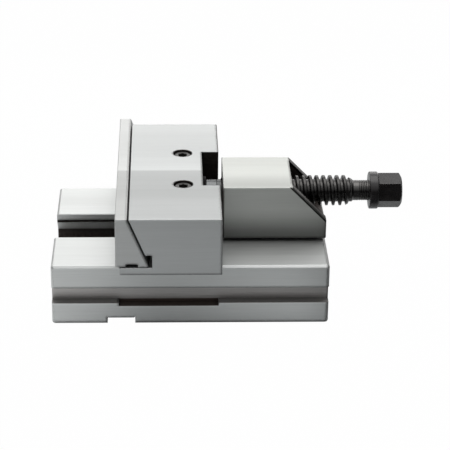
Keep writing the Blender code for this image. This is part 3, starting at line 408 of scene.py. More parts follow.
def new_finish(name, metallic, roughness):
    """A material with its shader, its tree and its object-space place and normal."""
    material = bpy.data.materials.new(name)
    tree = Tree(material)
    shader = tree.nodes["Principled BSDF"]
    shader.inputs["Metallic"].default_value = metallic
    shader.inputs["Roughness"].default_value = roughness
    spot = tree.add("TexCoord")
    return material, tree, shader, spot.outputs["Object"], spot.outputs["Normal"]


def rounded_normal(tree, radius):
    """The normal of a surface with its edges rounded."""
    node = tree.add("Bevel", samples=BEVEL_SAMPLES)
    node.inputs["Radius"].default_value = radius
    return node.outputs[0]


def edge_mask(tree, rounded):
    """1 on a line along an edge, 0 on the faces, from a rounded normal: the oxide's worn edges, and the painted edge
    highlight and shade of the ground steel.
    """
    flat = tree.add("NewGeometry").outputs["Normal"]
    agree = tree.vector("DOT_PRODUCT", rounded, flat).outputs["Value"]
    return tree.span(agree, *EDGE_AGREEMENT)


def edge_highlight_and_shade(tree):
    """Painted highlight and shade along a block's edges: bright on upper edges along X, dark on lower ones and on those
    across its rear.
    """
    rounded = rounded_normal(tree, EDGE_LIGHT_REACH)
    along, _, up = tree.split(rounded)
    upper = tree.span(up, *UPPER_EDGE)
    sideward = tree.span(tree.math("ABSOLUTE", along), *ENDWARD_EDGE, 1.0, 0.0)
    tone = tree.span(tree.product(upper, sideward), 0.0, 1.0, EDGE_SHADE - 1, EDGE_HIGHLIGHT - 1)
    kept = tree.span(along, *REARWARD_EDGE)
    return tree.math("ADD", 1.0, tree.product(edge_mask(tree, rounded), kept, tone))


def corner_shade(tree):
    """Tone that darkens in corners and narrow gaps: painted shade, from how open each point is to its surroundings."""
    node = tree.add("AmbientOcclusion", samples=CORNER_SAMPLES)
    node.inputs["Distance"].default_value = CORNER_REACH
    return tree.span(node.outputs["AO"], *CORNER_OPEN, CORNER_SHADE, 1.0)


def reflection_step(edge, soft, paler):
    """Tone of a top face: a painted reflection, dark on the near side of a line along X and palest just past it."""
    def tone(tree, place, normal):
        across = tree.split(place)[1]
        near = tree.span(across, edge - soft, edge + soft, 1.0, 0.0)
        depth = tree.span(across, *around(edge, REFLECTION_STEP_NEAR), REFLECTION_STEP_TONE / 2, REFLECTION_STEP_TONE)
        pale = tree.span(across, edge, edge + REFLECTION_STEP_FAR, paler, REFLECTION_STEP_FAR_SHARE)
        shade = tree.math("SUBTRACT", tree.product(near, tree.math("ADD", depth, pale)), pale)
        upward = tree.span(tree.split(normal)[2], *FACING_TOP)
        return tree.math("SUBTRACT", 1.0, tree.product(shade, upward))

    return tone


def end_edge_shade(tree, place, normal):
    """Tone of a block whose broken edges across its ends are dark: painted shade on those chamfers."""
    along, _, up = tree.split(normal)
    tilt = tree.product(tree.math("ABSOLUTE", along), up)
    return tree.span(tilt, *END_EDGE_TILT, 1.0, END_CHAMFER_SHADE)


def base_painted_light(tree, place, normal):
    """Painted light and shade on the base: paler sides towards both ends, a paler top towards the near side, and darker
    ledges.
    """
    along, across, up = tree.split(place)
    front = tree.span(along, *BASE_FRONT_FADE, BASE_LIT_ENDS[0], 1.0)
    rear = tree.span(along, *BASE_REAR_FADE, 1.0, BASE_LIT_ENDS[1])
    top = tree.span(across, *BASE_TOP_FADE, *BASE_LIT_TOP)
    ledge = tree.span(up, GROOVE_SPAN[0] + MARGIN, GROOVE_SPAN[1], LEDGE_SHADE, 1.0)
    upward = tree.span(tree.split(normal)[2], *FACING_UP)
    return tree.choose(upward, tree.product(front, rear), tree.product(top, ledge))


def under_slope(tree, place):
    """Distance below the plane of the support's slope."""
    run, drop = SLOPE_FOOT[0] - SLOPE_TOP[0], SLOPE_TOP[1] - SLOPE_FOOT[1]
    normal = Vector((drop, 0, run)).normalized()
    offset = normal.dot((SLOPE_TOP[0], 0, SLOPE_TOP[1]))
    return tree.math("SUBTRACT", offset, tree.vector("DOT_PRODUCT", place, normal).outputs["Value"])


def support_painted_shade(tree, place, normal):
    """Painted shade on the support: its sides darken towards the foot, and have a dark line along the slope."""
    sideways = tree.span(tree.math("ABSOLUTE", tree.split(normal)[1]), *FACING_SIDE)
    height, tone = SUPPORT_FOOT
    foot = tree.span(tree.split(place)[2], SOLE_SPAN[1], SOLE_SPAN[1] + height, tone, 1.0)
    below = under_slope(tree, place)
    line = tree.span(below, SLOPE_RIM, SLOPE_RIM + SLOPE_RIM_SOFT, SLOPE_RIM_TONE, 1.0)
    shade = tree.product(sideways, tree.math("SUBTRACT", 1.0, tree.product(foot, line)))
    return tree.math("SUBTRACT", 1.0, shade)


def slope_tone(tree, place):
    """Tone of the support's slope: dark, with a pale line that wear leaves along each side."""
    across = tree.math("ABSOLUTE", tree.split(place)[1])
    soft = (-SLOPE_LINE_SOFT, SLOPE_LINE_SOFT)
    inner = tree.span(across, *around(SLOPE_LINE[0], soft), SLOPE_LINE_TONES[0], 1.0)
    outer = tree.span(across, *around(SLOPE_LINE[1], soft), 1.0, SLOPE_LINE_TONES[1])
    return tree.product(inner, outer)


def relief(tree, shader, height, strength, depth, base=None):
    """Gives a shader the relief of a height, over a base normal or the surface's own."""
    bump = tree.add("Bump")
    bump.inputs["Strength"].default_value = strength
    bump.inputs["Distance"].default_value = depth
    tree.put(bump.inputs["Height"], height)
    tree.put(bump.inputs["Normal"], base)
    tree.put(shader.inputs["Normal"], bump.outputs[0])


def inside_box(tree, place, low, high):
    """1 inside a box of object space and 0 outside it."""
    middle = [(a + b) / 2 for a, b in zip(low, high)]
    offset = tree.vector("SUBTRACT", place, middle)
    parts = tree.split(tree.vector("ABSOLUTE", offset.outputs[0]).outputs[0])
    within = [tree.math("LESS_THAN", part, (b - a) / 2) for part, a, b in zip(parts, low, high)]
    return tree.product(*within)


def inside_bore(tree, place, axis, centre, radius, low, high):
    """1 inside a round hole along an axis of object space, between two places along it."""
    offset = tree.vector("SUBTRACT", place, centre)
    flat = [0.0 if index == axis else 1.0 for index in range(3)]
    across = tree.vector("MULTIPLY", offset.outputs[0], flat)
    away = tree.vector("LENGTH", across.outputs[0]).outputs["Value"]
    along = tree.split(place)[axis]
    above = tree.math("GREATER_THAN", along, low)
    below = tree.math("LESS_THAN", along, high)
    near = tree.math("LESS_THAN", away, radius)
    return tree.product(above, below, near)


def in_any(tree, place, boxes, bores):
    """1 inside any of the boxes or bores."""
    masks = [inside_box(tree, place, *box) for box in boxes]
    masks += [inside_bore(tree, place, *bore) for bore in bores]
    found = masks[0]
    for mask in masks[1:]:
        found = tree.math("MAXIMUM", found, mask)
    return found


def ground_steel(name, colour, tones=(), slope=False, milled=(), pockets=(), scaled=(), bores=()):
    """Surface-ground steel: fine lines along X, or along Y on the end faces, with soft bands, painted highlights and
    shade along its edges and painted shade in its corners.

    Each of tones gives a factor of the colour. The milled boxes and the slope have a darker steel, the pocket boxes a
    darker steel that also paints the shade under the lip, and the scaled boxes and bores keep the dark scale of
    hardening, which also paints the shade in these hollows.
    """
    material, tree, shader, place, normal = new_finish(name, STEEL_METALLIC, STEEL_ROUGHNESS)
    on_end = tree.span(tree.math("ABSOLUTE", tree.split(normal)[0]), *FACING_END)
    grain = tree.choose(on_end, tree.noise(place, *GRIND_ALONG_X), tree.noise(place, *GRIND_ALONG_Y))
    passes = tree.noise(place, *GRIND_PASSES)
    tone = tree.math("ADD", tree.product(grain, GRAIN_SHARE), tree.product(passes, 1 - GRAIN_SHARE))
    grained = tree.span(tone, *NOISE_SPAN, *GRAIN_TONES)
    banded = tree.span(tree.noise(place, *STEEL_BANDS), *BAND_SPAN, *BAND_TONES)
    surface = tree.scaled(colour, tree.product(grained, banded))
    rough = tree.span(tone, *NOISE_SPAN, *around(STEEL_ROUGHNESS, STEEL_ROUGHNESS_SPREAD))
    streaks = tree.span(tone, *NOISE_SPAN, *STREAK_TONES)
    specks = tree.span(tree.noise(place, *SCALE_SPECKS), *NOISE_SPAN, *SPECK_TONES)
    areas = (
        (milled, (), MILLED_STEEL, streaks, MILLED_ROUGHNESS),
        (pockets, (), POCKET_STEEL_AND_SHADE, streaks, 0.0),
        (scaled, bores, HARDENING_SCALE_AND_SHADE, specks, SCALE_ROUGHNESS),
    )
    for boxes, holes, tint, texture, least_rough in areas:
        if boxes or holes:
            here = in_any(tree, place, boxes, holes)
            surface = tree.blend(here, surface, tree.scaled(tint, texture))
            rough = tree.math("MAXIMUM", rough, tree.product(here, least_rough))
    if slope:
        here = tree.math("LESS_THAN", under_slope(tree, place), SLOPE_SKIN)
        lined = tree.product(streaks, slope_tone(tree, place))
        surface = tree.blend(here, surface, tree.scaled(SLOPE_STEEL, lined))
        tree.put(shader.inputs["Metallic"], tree.span(here, 0.0, 1.0, STEEL_METALLIC, 0.0))
    for tone_of in tones:
        surface = tree.scaled(surface, tone_of(tree, place, normal))
    # painted highlight and shade along the edges, and painted shade in the corners
    surface = tree.scaled(surface, tree.product(edge_highlight_and_shade(tree), corner_shade(tree)))
    tree.put(shader.inputs["Base Color"], surface)
    tree.put(shader.inputs["Roughness"], rough)
    relief(tree, shader, grain, *STEEL_RELIEF, rounded_normal(tree, EDGE_ROUND))
    return material


def turned_areas(tree, place):
    """Where the spindle's thread and shank are rubbed to dark steel, and the tone there, with painted shade in the
    middle of each of the shank's grooves.
    """
    crest = SPINDLE_THREAD["diameter"] / 2
    root = crest - SPINDLE_THREAD["depth"]
    axis_height = middle_of(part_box("thrust_washer"))[2]
    along, across, up = tree.split(place)
    level = tree.math("SUBTRACT", up, axis_height)
    away = tree.math("SQRT", tree.math("ADD", tree.math("POWER", across, 2.0), tree.math("POWER", level, 2.0)))
    past_start = tree.math("GREATER_THAN", along, THREAD_START_X)
    turned = tree.product(past_start, tree.math("LESS_THAN", along, COLLAR_X))
    threaded = tree.math("LESS_THAN", along, THREAD_END_X)
    rise = tree.span(away, *around(root, FLANK_ROOT))
    fall = tree.span(away, *around(crest, FLANK_CREST), 1.0, 0.0)
    flank = tree.product(threaded, tree.product(rise, fall))
    phase = tree.product(tree.math("SUBTRACT", along, COLLAR_X), math.tau / SHANK_GROOVE_PITCH)
    ringed = tree.math("GREATER_THAN", along, SHANK_GROOVES_START)
    ring = tree.product(ringed, tree.span(tree.math("COSINE", phase), *RING_WAVE, RING_SHADE, 0.0))
    share = tree.product(turned, tree.math("SUBTRACT", 1.0, tree.product(flank, FLANK_OXIDE)))
    return share, tree.math("SUBTRACT", tree.span(threaded, 0.0, 1.0, 1.0, THREAD_TONE), ring)


def black_oxide(name, colour, roughness, shine, wear, journal=None):
    """Oiled black oxide on turned steel, rubbed bare along its edges.

    journal is the spindle's: two places along X, and the steel is ground bright forward of the first and duller up to
    the second. Behind them the thread and the shank are rubbed to dark steel.
    """
    material, tree, shader, place, _ = new_finish(name, 0.0, roughness)
    shader.inputs["IOR"].default_value = OXIDE_IOR
    shader.inputs["Specular IOR Level"].default_value = shine
    turning = tree.noise(place, *OXIDE_TURNING)
    clouds = tree.noise(place, *OXIDE_CLOUDS)
    speck = tree.noise(place, *RUBBED_SPECKS)
    tone = tree.math("ADD", tree.product(turning, TURNING_SHARE), tree.product(clouds, 1 - TURNING_SHARE))
    surface = tree.scaled(colour, tree.span(tone, *NOISE_SPAN, *OXIDE_TONES))
    rounded = rounded_normal(tree, OXIDE_EDGE)
    rubbed = tree.span(speck, *RUBBED_SPAN, *times(RUBBED_SHARES, wear))
    bare = tree.product(edge_mask(tree, rounded), rubbed)
    surface = tree.blend(bare, surface, paint(RUBBED_OXIDE))
    rough = tree.span(tone, *NOISE_SPAN, *around(roughness, OXIDE_ROUGHNESS_SPREAD))
    if journal is not None:
        along = tree.split(place)[0]
        bright = tree.math("LESS_THAN", along, journal[0])
        ground = tree.math("LESS_THAN", along, journal[1])
        polish = tree.span(bright, 0.0, 1.0, *JOURNAL_POLISH)
        lift = tree.product(polish, tree.span(turning, *NOISE_SPAN, *JOURNAL_TONES))
        share, shade = turned_areas(tree, place)
        surface = tree.blend(share, surface, tree.scaled(TURNED_STEEL, shade))
        surface = tree.blend(ground, surface, tree.scaled(JOURNAL_STEEL, lift))
        bare = tree.math("MAXIMUM", tree.math("MAXIMUM", bare, share), ground)
    tree.put(shader.inputs["Metallic"], bare)
    tree.put(shader.inputs["Base Color"], surface)
    tree.put(shader.inputs["Roughness"], rough)
    relief(tree, shader, turning, *OXIDE_RELIEF, rounded)
    return material


def bright_pin(name, colour, roughness):
    """Centreless-ground pin steel with faint rings."""
    material, tree, shader, place, _ = new_finish(name, 1.0, roughness)
    rings = tree.noise(place, *PIN_RINGS)
    dark, pale = (paint(times(colour, tone)) for tone in PIN_TONES)
    rough = tree.span(rings, *NOISE_SPAN, *around(roughness, PIN_ROUGHNESS_SPREAD))
    tree.put(shader.inputs["Base Color"], tree.blend(tree.span(rings, *NOISE_SPAN), dark, pale))
    tree.put(shader.inputs["Roughness"], rough)
    relief(tree, shader, rings, *PIN_RELIEF)
    return material


def add_mesh(name, bm, material, at, turn=(0, 0, 0)):
    """Places a bmesh in the world, with its points in world space."""
    bmesh.ops.remove_doubles(bm, verts=bm.verts, dist=WELD_DISTANCE)
    bmesh.ops.recalc_face_normals(bm, faces=bm.faces)
    turned = Matrix.Translation(at)
    for axis, angle in zip("XYZ", turn):
        turned = turned @ Matrix.Rotation(angle, 4, axis)
    bmesh.ops.transform(bm, matrix=turned, verts=bm.verts)
    mesh = bpy.data.meshes.new(name)
    bm.to_mesh(mesh)
    bm.free()
    mesh.shade_smooth()
    mesh.set_sharp_from_angle(angle=SHARP_ANGLE)
    mesh.materials.append(material)
    obj = bpy.data.objects.new(name, mesh)
    bpy.context.scene.collection.objects.link(obj)
    return obj


def circle_point(along, radius, angle):
    """A point round the X axis, with angles from +Y towards +Z."""
    return along, radius * math.cos(angle), radius * math.sin(angle)


def bridge(bm, rings):
    """Joins rings of equal counts side by side."""
    for ring, following in zip(rings, rings[1:]):
        count = len(ring)
        for step in range(count):
            after = (step + 1) % count
            bm.faces.new((ring[step], ring[after], following[after], following[step]))


def lathe(bm, profile, segments, reach=None):
    """Turns (along, radius) points round the X axis. reach can pull a ring in, for flats and knurls."""
    rings = []
    for index, (along, radius) in enumerate(profile):
        ring = []
        for step in range(segments):
            angle = math.tau * step / segments
            held = reach(index, radius, angle) if reach else radius
            ring.append(bm.verts.new(circle_point(along, held, angle)))
        rings.append(ring)
    bridge(bm, rings)
    return rings


def close(bm, ring, tip):
    """A shallow cone from a ring to a point on the axis."""
    centre = bm.verts.new((tip, 0, 0))
    for step in range(len(ring)):
        bm.faces.new((ring[step], ring[(step + 1) % len(ring)], centre))


def corner_curve(before, corner, after, radius):
    """Points that round a profile's corner between two straight runs."""
    into = Vector((corner[0] - before[0], corner[1] - before[1])).normalized()
    out = Vector((after[0] - corner[0], after[1] - corner[1])).normalized()
    first = Vector(corner) - into * radius
    last = Vector(corner) + out * radius
    points = []
    for step in range(CURVE_STEPS + 1):
        share = step / CURVE_STEPS
        bent = first * (1 - share) ** 2 + Vector(corner) * 2 * share * (1 - share) + last * share ** 2
        points.append(tuple(bent))
    return points


def softened(profile, radius):
    """Rounds every inner corner of a profile by up to a radius."""
    made = [profile[0]]
    for before, corner, after in zip(profile, profile[1:], profile[2:]):
        shorter = min((Vector(corner) - Vector(before)).length, (Vector(after) - Vector(corner)).length)
        made += corner_curve(before, corner, after, min(radius, shorter / CURVE_DIVISOR))
    made.append(profile[-1])
    return made


def thread_knots(depth, crest, flank, corner):
    """The thread's section from root to root, as (along, height) with rounded crest corners and root fillets."""
    plain = [(-corner, 0), (0, 0), (flank, depth), (flank + crest, depth), (2 * flank + crest, 0)]
    plain.append((2 * flank + crest + corner, 0))
    return softened(plain, corner)


def add_thread(bm, sizes, start, end, segments, run_in, run_out, corner, turn=0.0):
    """A right-hand thread as a strip that climbs one pitch in each turn, faded out at both ends.

    Gives the radius of its core.
    """
    pitch, depth = sizes["pitch"], sizes["depth"]
    flank = depth * math.tan(math.radians(sizes["flank"]))
    knots = thread_knots(depth, pitch * sizes["crest_share"], flank, corner)
    core = sizes["diameter"] / 2 - depth
    turns = math.ceil((end - start) / pitch) + 2
    rows = []
    for step in range(turns * segments + 1):
        climb = start + pitch * (step / segments - 1)
        row = []
        for offset, height in knots:
            along = min(max(climb + offset, start), end)
            fade = max(0.0, min(1.0, (along - start) / run_in, (end - along) / run_out))
            row.append(bm.verts.new(circle_point(along, core + height * fade, turn + math.tau * step / segments)))
        rows.append(row)
    for step in range((turns - 1) * segments):
        here, after = rows[step], rows[step + 1]
        for knot in range(len(knots) - 1):
            bm.faces.new((here[knot], after[knot], after[knot + 1], here[knot + 1]))
        above, above_after = rows[step + segments], rows[step + segments + 1]
        bm.faces.new((here[-1], after[-1], above_after[0], above[0]))
    return core


def nose_points(core):
    """From the thread's start forwards to the nose's tip."""
    front, rear = NOSE_GROOVE
    groove_front, groove_rear = JOURNAL_GROOVE
    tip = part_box("spindle")[0][0]
    return [
        (THREAD_START_X, core),
        (groove_rear, core),
        (groove_rear, core - JOURNAL_GROOVE_DEPTH),
        (groove_front, core - JOURNAL_GROOVE_DEPTH),
        (groove_front, core),
        (JOURNAL_X, core),
        (JOURNAL_X, NOSE_RADIUS),
        (rear, NOSE_RADIUS),
        (rear, NOSE_GROOVE_RADIUS),
        (front, NOSE_GROOVE_RADIUS),
        (front, NOSE_RADIUS),
        (tip + NOSE_CHAMFER, NOSE_RADIUS),
        (tip, NOSE_RADIUS - NOSE_CHAMFER),
    ]


def shank_points(core):
    """From the thread's end to the collar, with the turned grooves on the shank's rear half."""
    points = [(THREAD_END_X, core), (THREAD_END_X + SHANK_SHOULDER, SHANK_RADIUS)]
    for groove in range(SHANK_GROOVES):
        middle = SHANK_GROOVES_START + groove * SHANK_GROOVE_PITCH
        for share, depth in SHANK_GROOVE_PROFILE:
            points.append((middle + share * SHANK_GROOVE_PITCH, SHANK_RADIUS - depth * SHANK_GROOVE_DEPTH))
    return points


def collar_points():
    """The collar with its rounded rim, and the neck behind it."""
    end = COLLAR_X + COLLAR_LENGTH
    corners = [
        (COLLAR_X, SHANK_RADIUS),
        (COLLAR_X, COLLAR_RADIUS),
        (end, COLLAR_RADIUS),
        (end, NECK_RADIUS),
    ]
    return softened(corners, COLLAR_ROUND) + [(end + NECK_LENGTH, NECK_RADIUS)]


def hex_points():
    """The hexagon's rings: its full length, then the cone of the wrench end."""
    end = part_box("spindle")[1][0]
    corner = HEX_FLAT / math.cos(math.pi / 6)
    drop = corner - HEX_FLAT * HEX_FACE_SHARE
    steps = 3 * CURVE_STEPS
    points = [(COLLAR_X + COLLAR_LENGTH + NECK_LENGTH, corner)]
    for step in range(steps + 1):
        share = step / steps
        points.append((end - (1 - share) * drop * math.tan(HEX_BEVEL_ANGLE), corner - share * drop))
    return points


def hexagon_reach(flat, turn=0.0):
    """Holds a radius inside a hexagon."""
    def reach(radius, angle):
        from_flat = (angle - turn) % (math.pi / 3) - math.pi / 6
        return min(radius, flat / math.cos(from_flat))

    return reach


def make_spindle(material):
    """The spindle, from its nose to its hexagon, in place of its CAD node."""
    bm = bmesh.new()
    ends = (THREAD_START_X, THREAD_END_X)
    runs = (THREAD_RUN_IN, SPINDLE_THREAD["pitch"])
    core = add_thread(bm, SPINDLE_THREAD, *ends, FINE_SEGMENTS, *runs, CREST_ROUND, THREAD_TURN)
    nose = lathe(bm, nose_points(core), FINE_SEGMENTS)
    close(bm, nose[-1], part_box("spindle")[0][0])
    plain = shank_points(core) + collar_points()
    hexagon = hexagon_reach(HEX_FLAT, HEX_TURN)

    def reach(index, radius, angle):
        return radius if index < len(plain) else hexagon(radius, angle)

    drive = lathe(bm, plain + hex_points(), FINE_SEGMENTS, reach)
    close(bm, drive[-1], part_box("spindle")[1][0])
    joint = next(joint for joint in frame["joints"] if joint["name"] == "spindle_spin")
    spindle = add_mesh("turned_spindle", bm, material, (0, 0, joint["pos_m"][2]))
    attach(spindle, "spindle_unit")
    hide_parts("spindle")


def add_screw_shank(bm, sizes, length):
    """The cut thread, its chamfered tip and the plain length under the head."""
    pitch, radius = sizes["pitch"], sizes["diameter"] / 2
    depth = pitch * THREAD_DEPTH_SHARE
    thread = {"diameter": sizes["diameter"], "pitch": pitch, "depth": depth, **SCREW_THREAD_FORM}
    tip_x, plain_x = depth - length, -length * SCREW_PLAIN_SHARE
    core = add_thread(bm, thread, tip_x, plain_x, SCREW_THREAD_SEGMENTS, pitch, pitch, SCREW_CREST_ROUND)
    tip = lathe(bm, [(tip_x, core), (-length, core - depth / 2)], SCREW_THREAD_SEGMENTS)
    close(bm, tip[-1], -length)
    plain = [(plain_x, core), (plain_x + depth, radius), (-SCREW_FILLET, radius), (0, radius + SCREW_FILLET)]
    lathe(bm, plain, SCREW_THREAD_SEGMENTS)


def add_screw_head(bm, sizes):
    """The knurled head with its rounded rim and its bevelled hexagon socket."""
    radius, head = sizes["diameter"] / 2, sizes["head"] / 2
    height, flat = sizes["height"], sizes["socket"] / 2
    outline = [(0, radius), (0, head - HEAD_CHAMFER), (HEAD_CHAMFER, head)]
    outline += corner_curve((0, head), (height, head), (height, flat), HEAD_ROUND)

    def knurl(index, value, angle):
        groove = round(angle / math.tau * SCREW_SEGMENTS) % 2
        return value - KNURL_DEPTH * groove if index in (2, 3) else value

    rings = [lathe(bm, outline, SCREW_SEGMENTS, knurl)[-1]]
    mouth = flat / math.cos(math.pi / 6) + SOCKET_BEVEL / 2
    well = height - sizes["socket_depth"]
    hexagon = hexagon_reach(flat)
    for along in (height, height - SOCKET_BEVEL, well):
        ring = []
        for step in range(SCREW_SEGMENTS):
            angle = math.tau * step / SCREW_SEGMENTS
            held = mouth if along == height else hexagon(mouth, angle)
            ring.append(bm.verts.new(circle_point(along, held, angle)))
        rings.append(ring)
    bridge(bm, rings)
    close(bm, rings[-1], well - SOCKET_CONE)


def make_cap_screw(name, node, sizes, body, material, axis, downward=False):
    """A socket head screw that replaces its CAD node."""
    low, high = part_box(node)
    bm = bmesh.new()
    add_screw_shank(bm, sizes, high[axis] - low[axis] - sizes["height"])
    add_screw_head(bm, sizes)
    at = list((low + high) / 2)
    at[axis] = low[axis] + sizes["height"] if downward else high[axis] - sizes["height"]
    tilt = math.pi / 2 if downward else -math.pi / 2
    screw = add_mesh(name, bm, material, at, (0, tilt if axis == 2 else 0, 0))
    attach(screw, body)
    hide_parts(node)


def make_screws(material):
    """The six socket head screws: in the jaw's top, in its rear and in the key."""
    for side in ("near", "far"):
        make_cap_screw("jaw_top_screw_" + side, "guide_screw_" + side, M6, "jaw_unit", material, 2)
        make_cap_screw("jaw_rear_screw_" + side, "plate_screw_" + side, M6, "plate_unit", material, 0)
        make_cap_screw("key_screw_" + side, "support_key_screw_" + side, M4, "base_unit", material, 2, True)


def dress(node, material):
    """Gives a carried-over CAD node its finish."""
    mesh = frame["nodes"][node].data
    mesh.materials.clear()
    mesh.materials.append(material)


def box_of(along, across, up):
    """The low and the high corner of a box, from its spans."""
    return tuple(zip(along, across, up))


def base_areas():
    """The base's milled grooves and channel, its side pockets, and the walls that keep their scale, which also paints
    the shade in them.
    """
    low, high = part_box("base")
    length = (low[0] - MARGIN, high[0] + MARGIN)
    milled = [box_of(length, (-UNDERCUT_HALF, UNDERCUT_HALF), (UNDERCUT_SPAN[0] - MARGIN, UNDERCUT_SPAN[1]))]
    pockets, scaled = [], []
    for side in (-1, 1):
        groove = sorted((side * GROOVE_WALL, side * (high[1] + MARGIN)))
        milled.append(box_of(length, groove, GROOVE_SPAN))
        pockets.append(box_of(POCKET_SPAN, groove, POCKET_HEIGHTS))
        wall = sorted((side * CHANNEL_HALF, side * UNDERCUT_HALF))
        scaled.append(box_of(length, wall, UNDERCUT_SPAN))
        lip = sorted((side * (CHANNEL_HALF + LIP_INSET), side * (CHANNEL_HALF + RELIEF_DEPTH)))
        scaled.append(box_of(length, lip, (CHANNEL_TOP, RELIEF_TOP)))
    return {"milled": milled, "pockets": pockets, "scaled": scaled}


def jaw_areas():
    """The jaw's notch and the counterbores of its screws, which keep their scale, dark enough to paint the shade in
    them too.
    """
    low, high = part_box("jaw_body")
    notch = box_of((NOTCH_FRONT, high[0] + MARGIN), (-NOTCH_HALF, NOTCH_HALF), (low[2], high[2] - POCKET_RIM))
    top, rear = high[2] - SCREW_POCKET_INSET, high[0] - SCREW_POCKET_INSET
    bores = []
    for side in ("near", "far"):
        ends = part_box("guide_screw_" + side)
        bores.append((2, list(middle_of(ends)), SCREW_POCKET_RADIUS, low[2], top))
        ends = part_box("plate_screw_" + side)
        bores.append((0, list(middle_of(ends)), SCREW_POCKET_RADIUS, ends[0][0], rear))
    return {"scaled": [notch], "bores": bores}


def support_areas():
    """The support's dull slope, and the trough and underside that keep their scale, which also paints the shade in the
    trough and in the gap under the support.
    """
    low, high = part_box("support_block")
    front, rear = low[0] + POCKET_RIM, high[0] - POCKET_RIM
    trough_front = low[0] + SUPPORT_NUT_LENGTH - POCKET_RIM
    trough = box_of((trough_front, rear), (-TROUGH_HALF, TROUGH_HALF), (TROUGH_FLOOR, high[2] - POCKET_RIM))
    sole = box_of((front, rear), (low[1] + POCKET_RIM, high[1] - POCKET_RIM), SOLE_SPAN)
    return {"slope": True, "scaled": [trough, sole]}


def make_finishes():
    """Dresses the carried-over nodes, and gives the finishes of the spindle and of the screws."""
    base = ground_steel("base_steel", BASE_STEEL, [base_painted_light], **base_areas())
    jaw = ground_steel("jaw_steel", JAW_STEEL, [reflection_step(*JAW_REFLECTION_STEP), end_edge_shade], **jaw_areas())
    tones = [reflection_step(*SUPPORT_REFLECTION_STEP), support_painted_shade]
    support = ground_steel("support_steel", SUPPORT_STEEL, tones, **support_areas())
    plate = ground_steel("plate_steel", PLATE_STEEL, [reflection_step(*JAW_REFLECTION_STEP)])
    slider = ground_steel("slider_steel", SLIDER_STEEL)
    black = black_oxide("black_oxide", BLACK_OXIDE, **WASHER_LOOK)
    screw = black_oxide("screw_oxide", SCREW_OXIDE, **SCREW_LOOK)
    journal = (JOURNAL_GROOVE[0], THREAD_START_X)
    spindle = black_oxide("spindle_oxide", BLACK_OXIDE, **SPINDLE_LOOK, journal=journal)
    pin = bright_pin("pin_steel", PIN_STEEL, PIN_ROUGHNESS)
    spring = bright_pin("spring_steel", SPRING_STEEL, SPRING_ROUGHNESS)
    finishes = {
        base: ("base",),
        support: ("support_block",),
        jaw: ("jaw_body",),
        plate: ("jaw_plate",),
        slider: ("guide_block",),
        black: ("thrust_washer",),
        screw: ("plate_washer_near", "plate_washer_far"),
        pin: ("support_key", "guide_dowel_near", "guide_dowel_far", "nose_pin_near", "nose_pin_far"),
        spring: ("plate_spring_near", "plate_spring_far"),
    }
    for material, nodes in finishes.items():
        for node in nodes:
            dress(node, material)
    return spindle, screw


def seen_directly(tree, path):
    """1 for what the camera sees, also through glass."""
    return tree.math("MAXIMUM", path.outputs["Is Camera Ray"], path.outputs["Is Transmission Ray"])


def seen_white(tree, path, camera_share, glossy_share):
    """How much of a surface's white shows to the camera, and how much in reflections."""
    glossy = tree.product(path.outputs["Is Glossy Ray"], glossy_share)
    return tree.math("MAXIMUM", tree.product(seen_directly(tree, path), camera_share), glossy)


def make_floor():
    """A pale floor that shows white and keeps the object's shadow.

    In reflections it is dark far out along Y and on the near side of the spindle's rear, and whiter to the left.
    """
    bm = bmesh.new()
    bmesh.ops.create_grid(bm, x_segments=FLOOR_CELLS, y_segments=FLOOR_CELLS, size=FLOOR_HALF)
    bmesh.ops.translate(bm, verts=bm.verts, vec=(0, 0, -FLOOR_DROP))
    mesh = bpy.data.meshes.new("floor")
    bm.to_mesh(mesh)
    bm.free()
    material = bpy.data.materials.new("floor_paper")
    tree = Tree(material)
    shader = tree.nodes["Principled BSDF"]
    shader.inputs["Base Color"].default_value = paint(FLOOR_PAPER)
    shader.inputs["Roughness"].default_value = FLOOR_ROUGHNESS
    shader.inputs["Specular IOR Level"].default_value = FLOOR_SHINE
    path = tree.add("LightPath")
    along, across, _ = tree.split(tree.add("TexCoord").outputs["Object"])
    left = tree.span(along, *FLOOR_LEFT, FLOOR_LEFT_SHARE, FLOOR_GLOSSY_SHARE)
    far = tree.span(tree.math("ABSOLUTE", across), *FLOOR_FAR)
    flag = tree.product(tree.span(along, *FLOOR_FLAG_ALONG), tree.span(across, *FLOOR_FLAG_ACROSS, 1.0, 0.0))
    dim = tree.product(tree.math("MAXIMUM", far, flag), FLOOR_DARK)
    pale = tree.add("MixShader")
    tree.put(pale.inputs[0], seen_white(tree, path, FLOOR_WHITE_SHARE, left))
    tree.put(pale.inputs[1], shader.outputs[0])
    tree.put(pale.inputs[2], tree.add("Emission").outputs[0])
    dark = tree.add("Emission")
    dark.inputs["Color"].default_value = paint(ROOM_HORIZON)
    mix = tree.add("MixShader")
    tree.put(mix.inputs[0], tree.product(path.outputs["Is Glossy Ray"], dim))
    tree.put(mix.inputs[1], pale.outputs[0])
    tree.put(mix.inputs[2], dark.outputs[0])
    tree.put(tree.nodes["Material Output"].inputs["Surface"], mix.outputs[0])
    mesh.materials.append(material)
    floor = bpy.data.objects.new("floor", mesh)
    bpy.context.scene.collection.objects.link(floor)


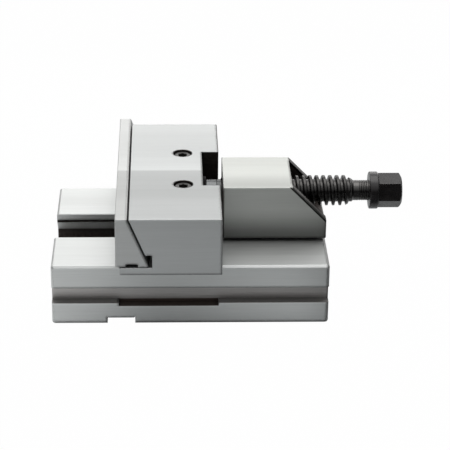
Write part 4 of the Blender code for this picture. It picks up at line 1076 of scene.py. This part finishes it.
def make_world():
    """White behind the object. In reflections the room has a dark horizon, a pale front and a white back."""
    world = bpy.data.worlds.new("studio")
    bpy.context.scene.world = world
    tree = Tree(world)
    background = tree.nodes["Background"]
    _, away, rise = tree.split(tree.add("TexCoord").outputs["Generated"])
    behind = tree.span(away, *ROOM_BACK)
    wall = tree.blend(behind, paint(ROOM_FRONT), paint(WHITE))
    foot = tree.span(behind, 0.0, 1.0, *ROOM_FOOT)
    above = tree.span(rise, foot, tree.math("ADD", foot, ROOM_FOOT_SOFT))
    room = tree.blend(above, paint(ROOM_HORIZON), wall)
    room = tree.blend(tree.span(rise, *ROOM_TOP_RISE), room, paint(ROOM_TOP))
    path = tree.add("LightPath")
    lit = tree.blend(path.outputs["Is Glossy Ray"], paint(ROOM_LIGHT), room)
    tree.put(background.inputs["Color"], tree.blend(seen_directly(tree, path), lit, paint(WHITE)))
    background.inputs["Strength"].default_value = 1.0


def add_softbox(name, at, aim, size, radiance):
    """A rectangular lamp that looks as bright as radiance says, where 1 is white."""
    data = bpy.data.lights.new(name, "AREA")
    data.shape = "RECTANGLE"
    data.size, data.size_y = size
    data.energy = radiance * math.pi * size[0] * size[1]
    data.color = WARM_WHITE
    lamp = bpy.data.objects.new(name, data)
    lamp.location = at
    lamp.rotation_euler = (Vector(aim) - Vector(at)).to_track_quat("-Z", "Y").to_euler()
    bpy.context.scene.collection.objects.link(lamp)
    lamp.visible_camera = False


def make_lights():
    """A softbox behind the object and one above it."""
    for name, settings in SOFTBOXES.items():
        add_softbox(name, *settings)


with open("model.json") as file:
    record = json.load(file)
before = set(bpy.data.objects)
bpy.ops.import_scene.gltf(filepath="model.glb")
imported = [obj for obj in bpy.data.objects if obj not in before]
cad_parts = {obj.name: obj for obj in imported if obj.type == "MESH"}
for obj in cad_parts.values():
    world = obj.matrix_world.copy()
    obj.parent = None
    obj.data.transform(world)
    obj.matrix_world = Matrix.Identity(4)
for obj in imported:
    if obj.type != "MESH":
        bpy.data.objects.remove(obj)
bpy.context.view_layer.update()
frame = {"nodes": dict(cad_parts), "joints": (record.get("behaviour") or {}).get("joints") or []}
bpy.context.scene.view_settings.view_transform = "Standard"
make_camera()
make_world()
make_floor()
make_lights()
spindle_finish, screw_finish = make_finishes()
make_spindle(spindle_finish)
make_screws(screw_finish)
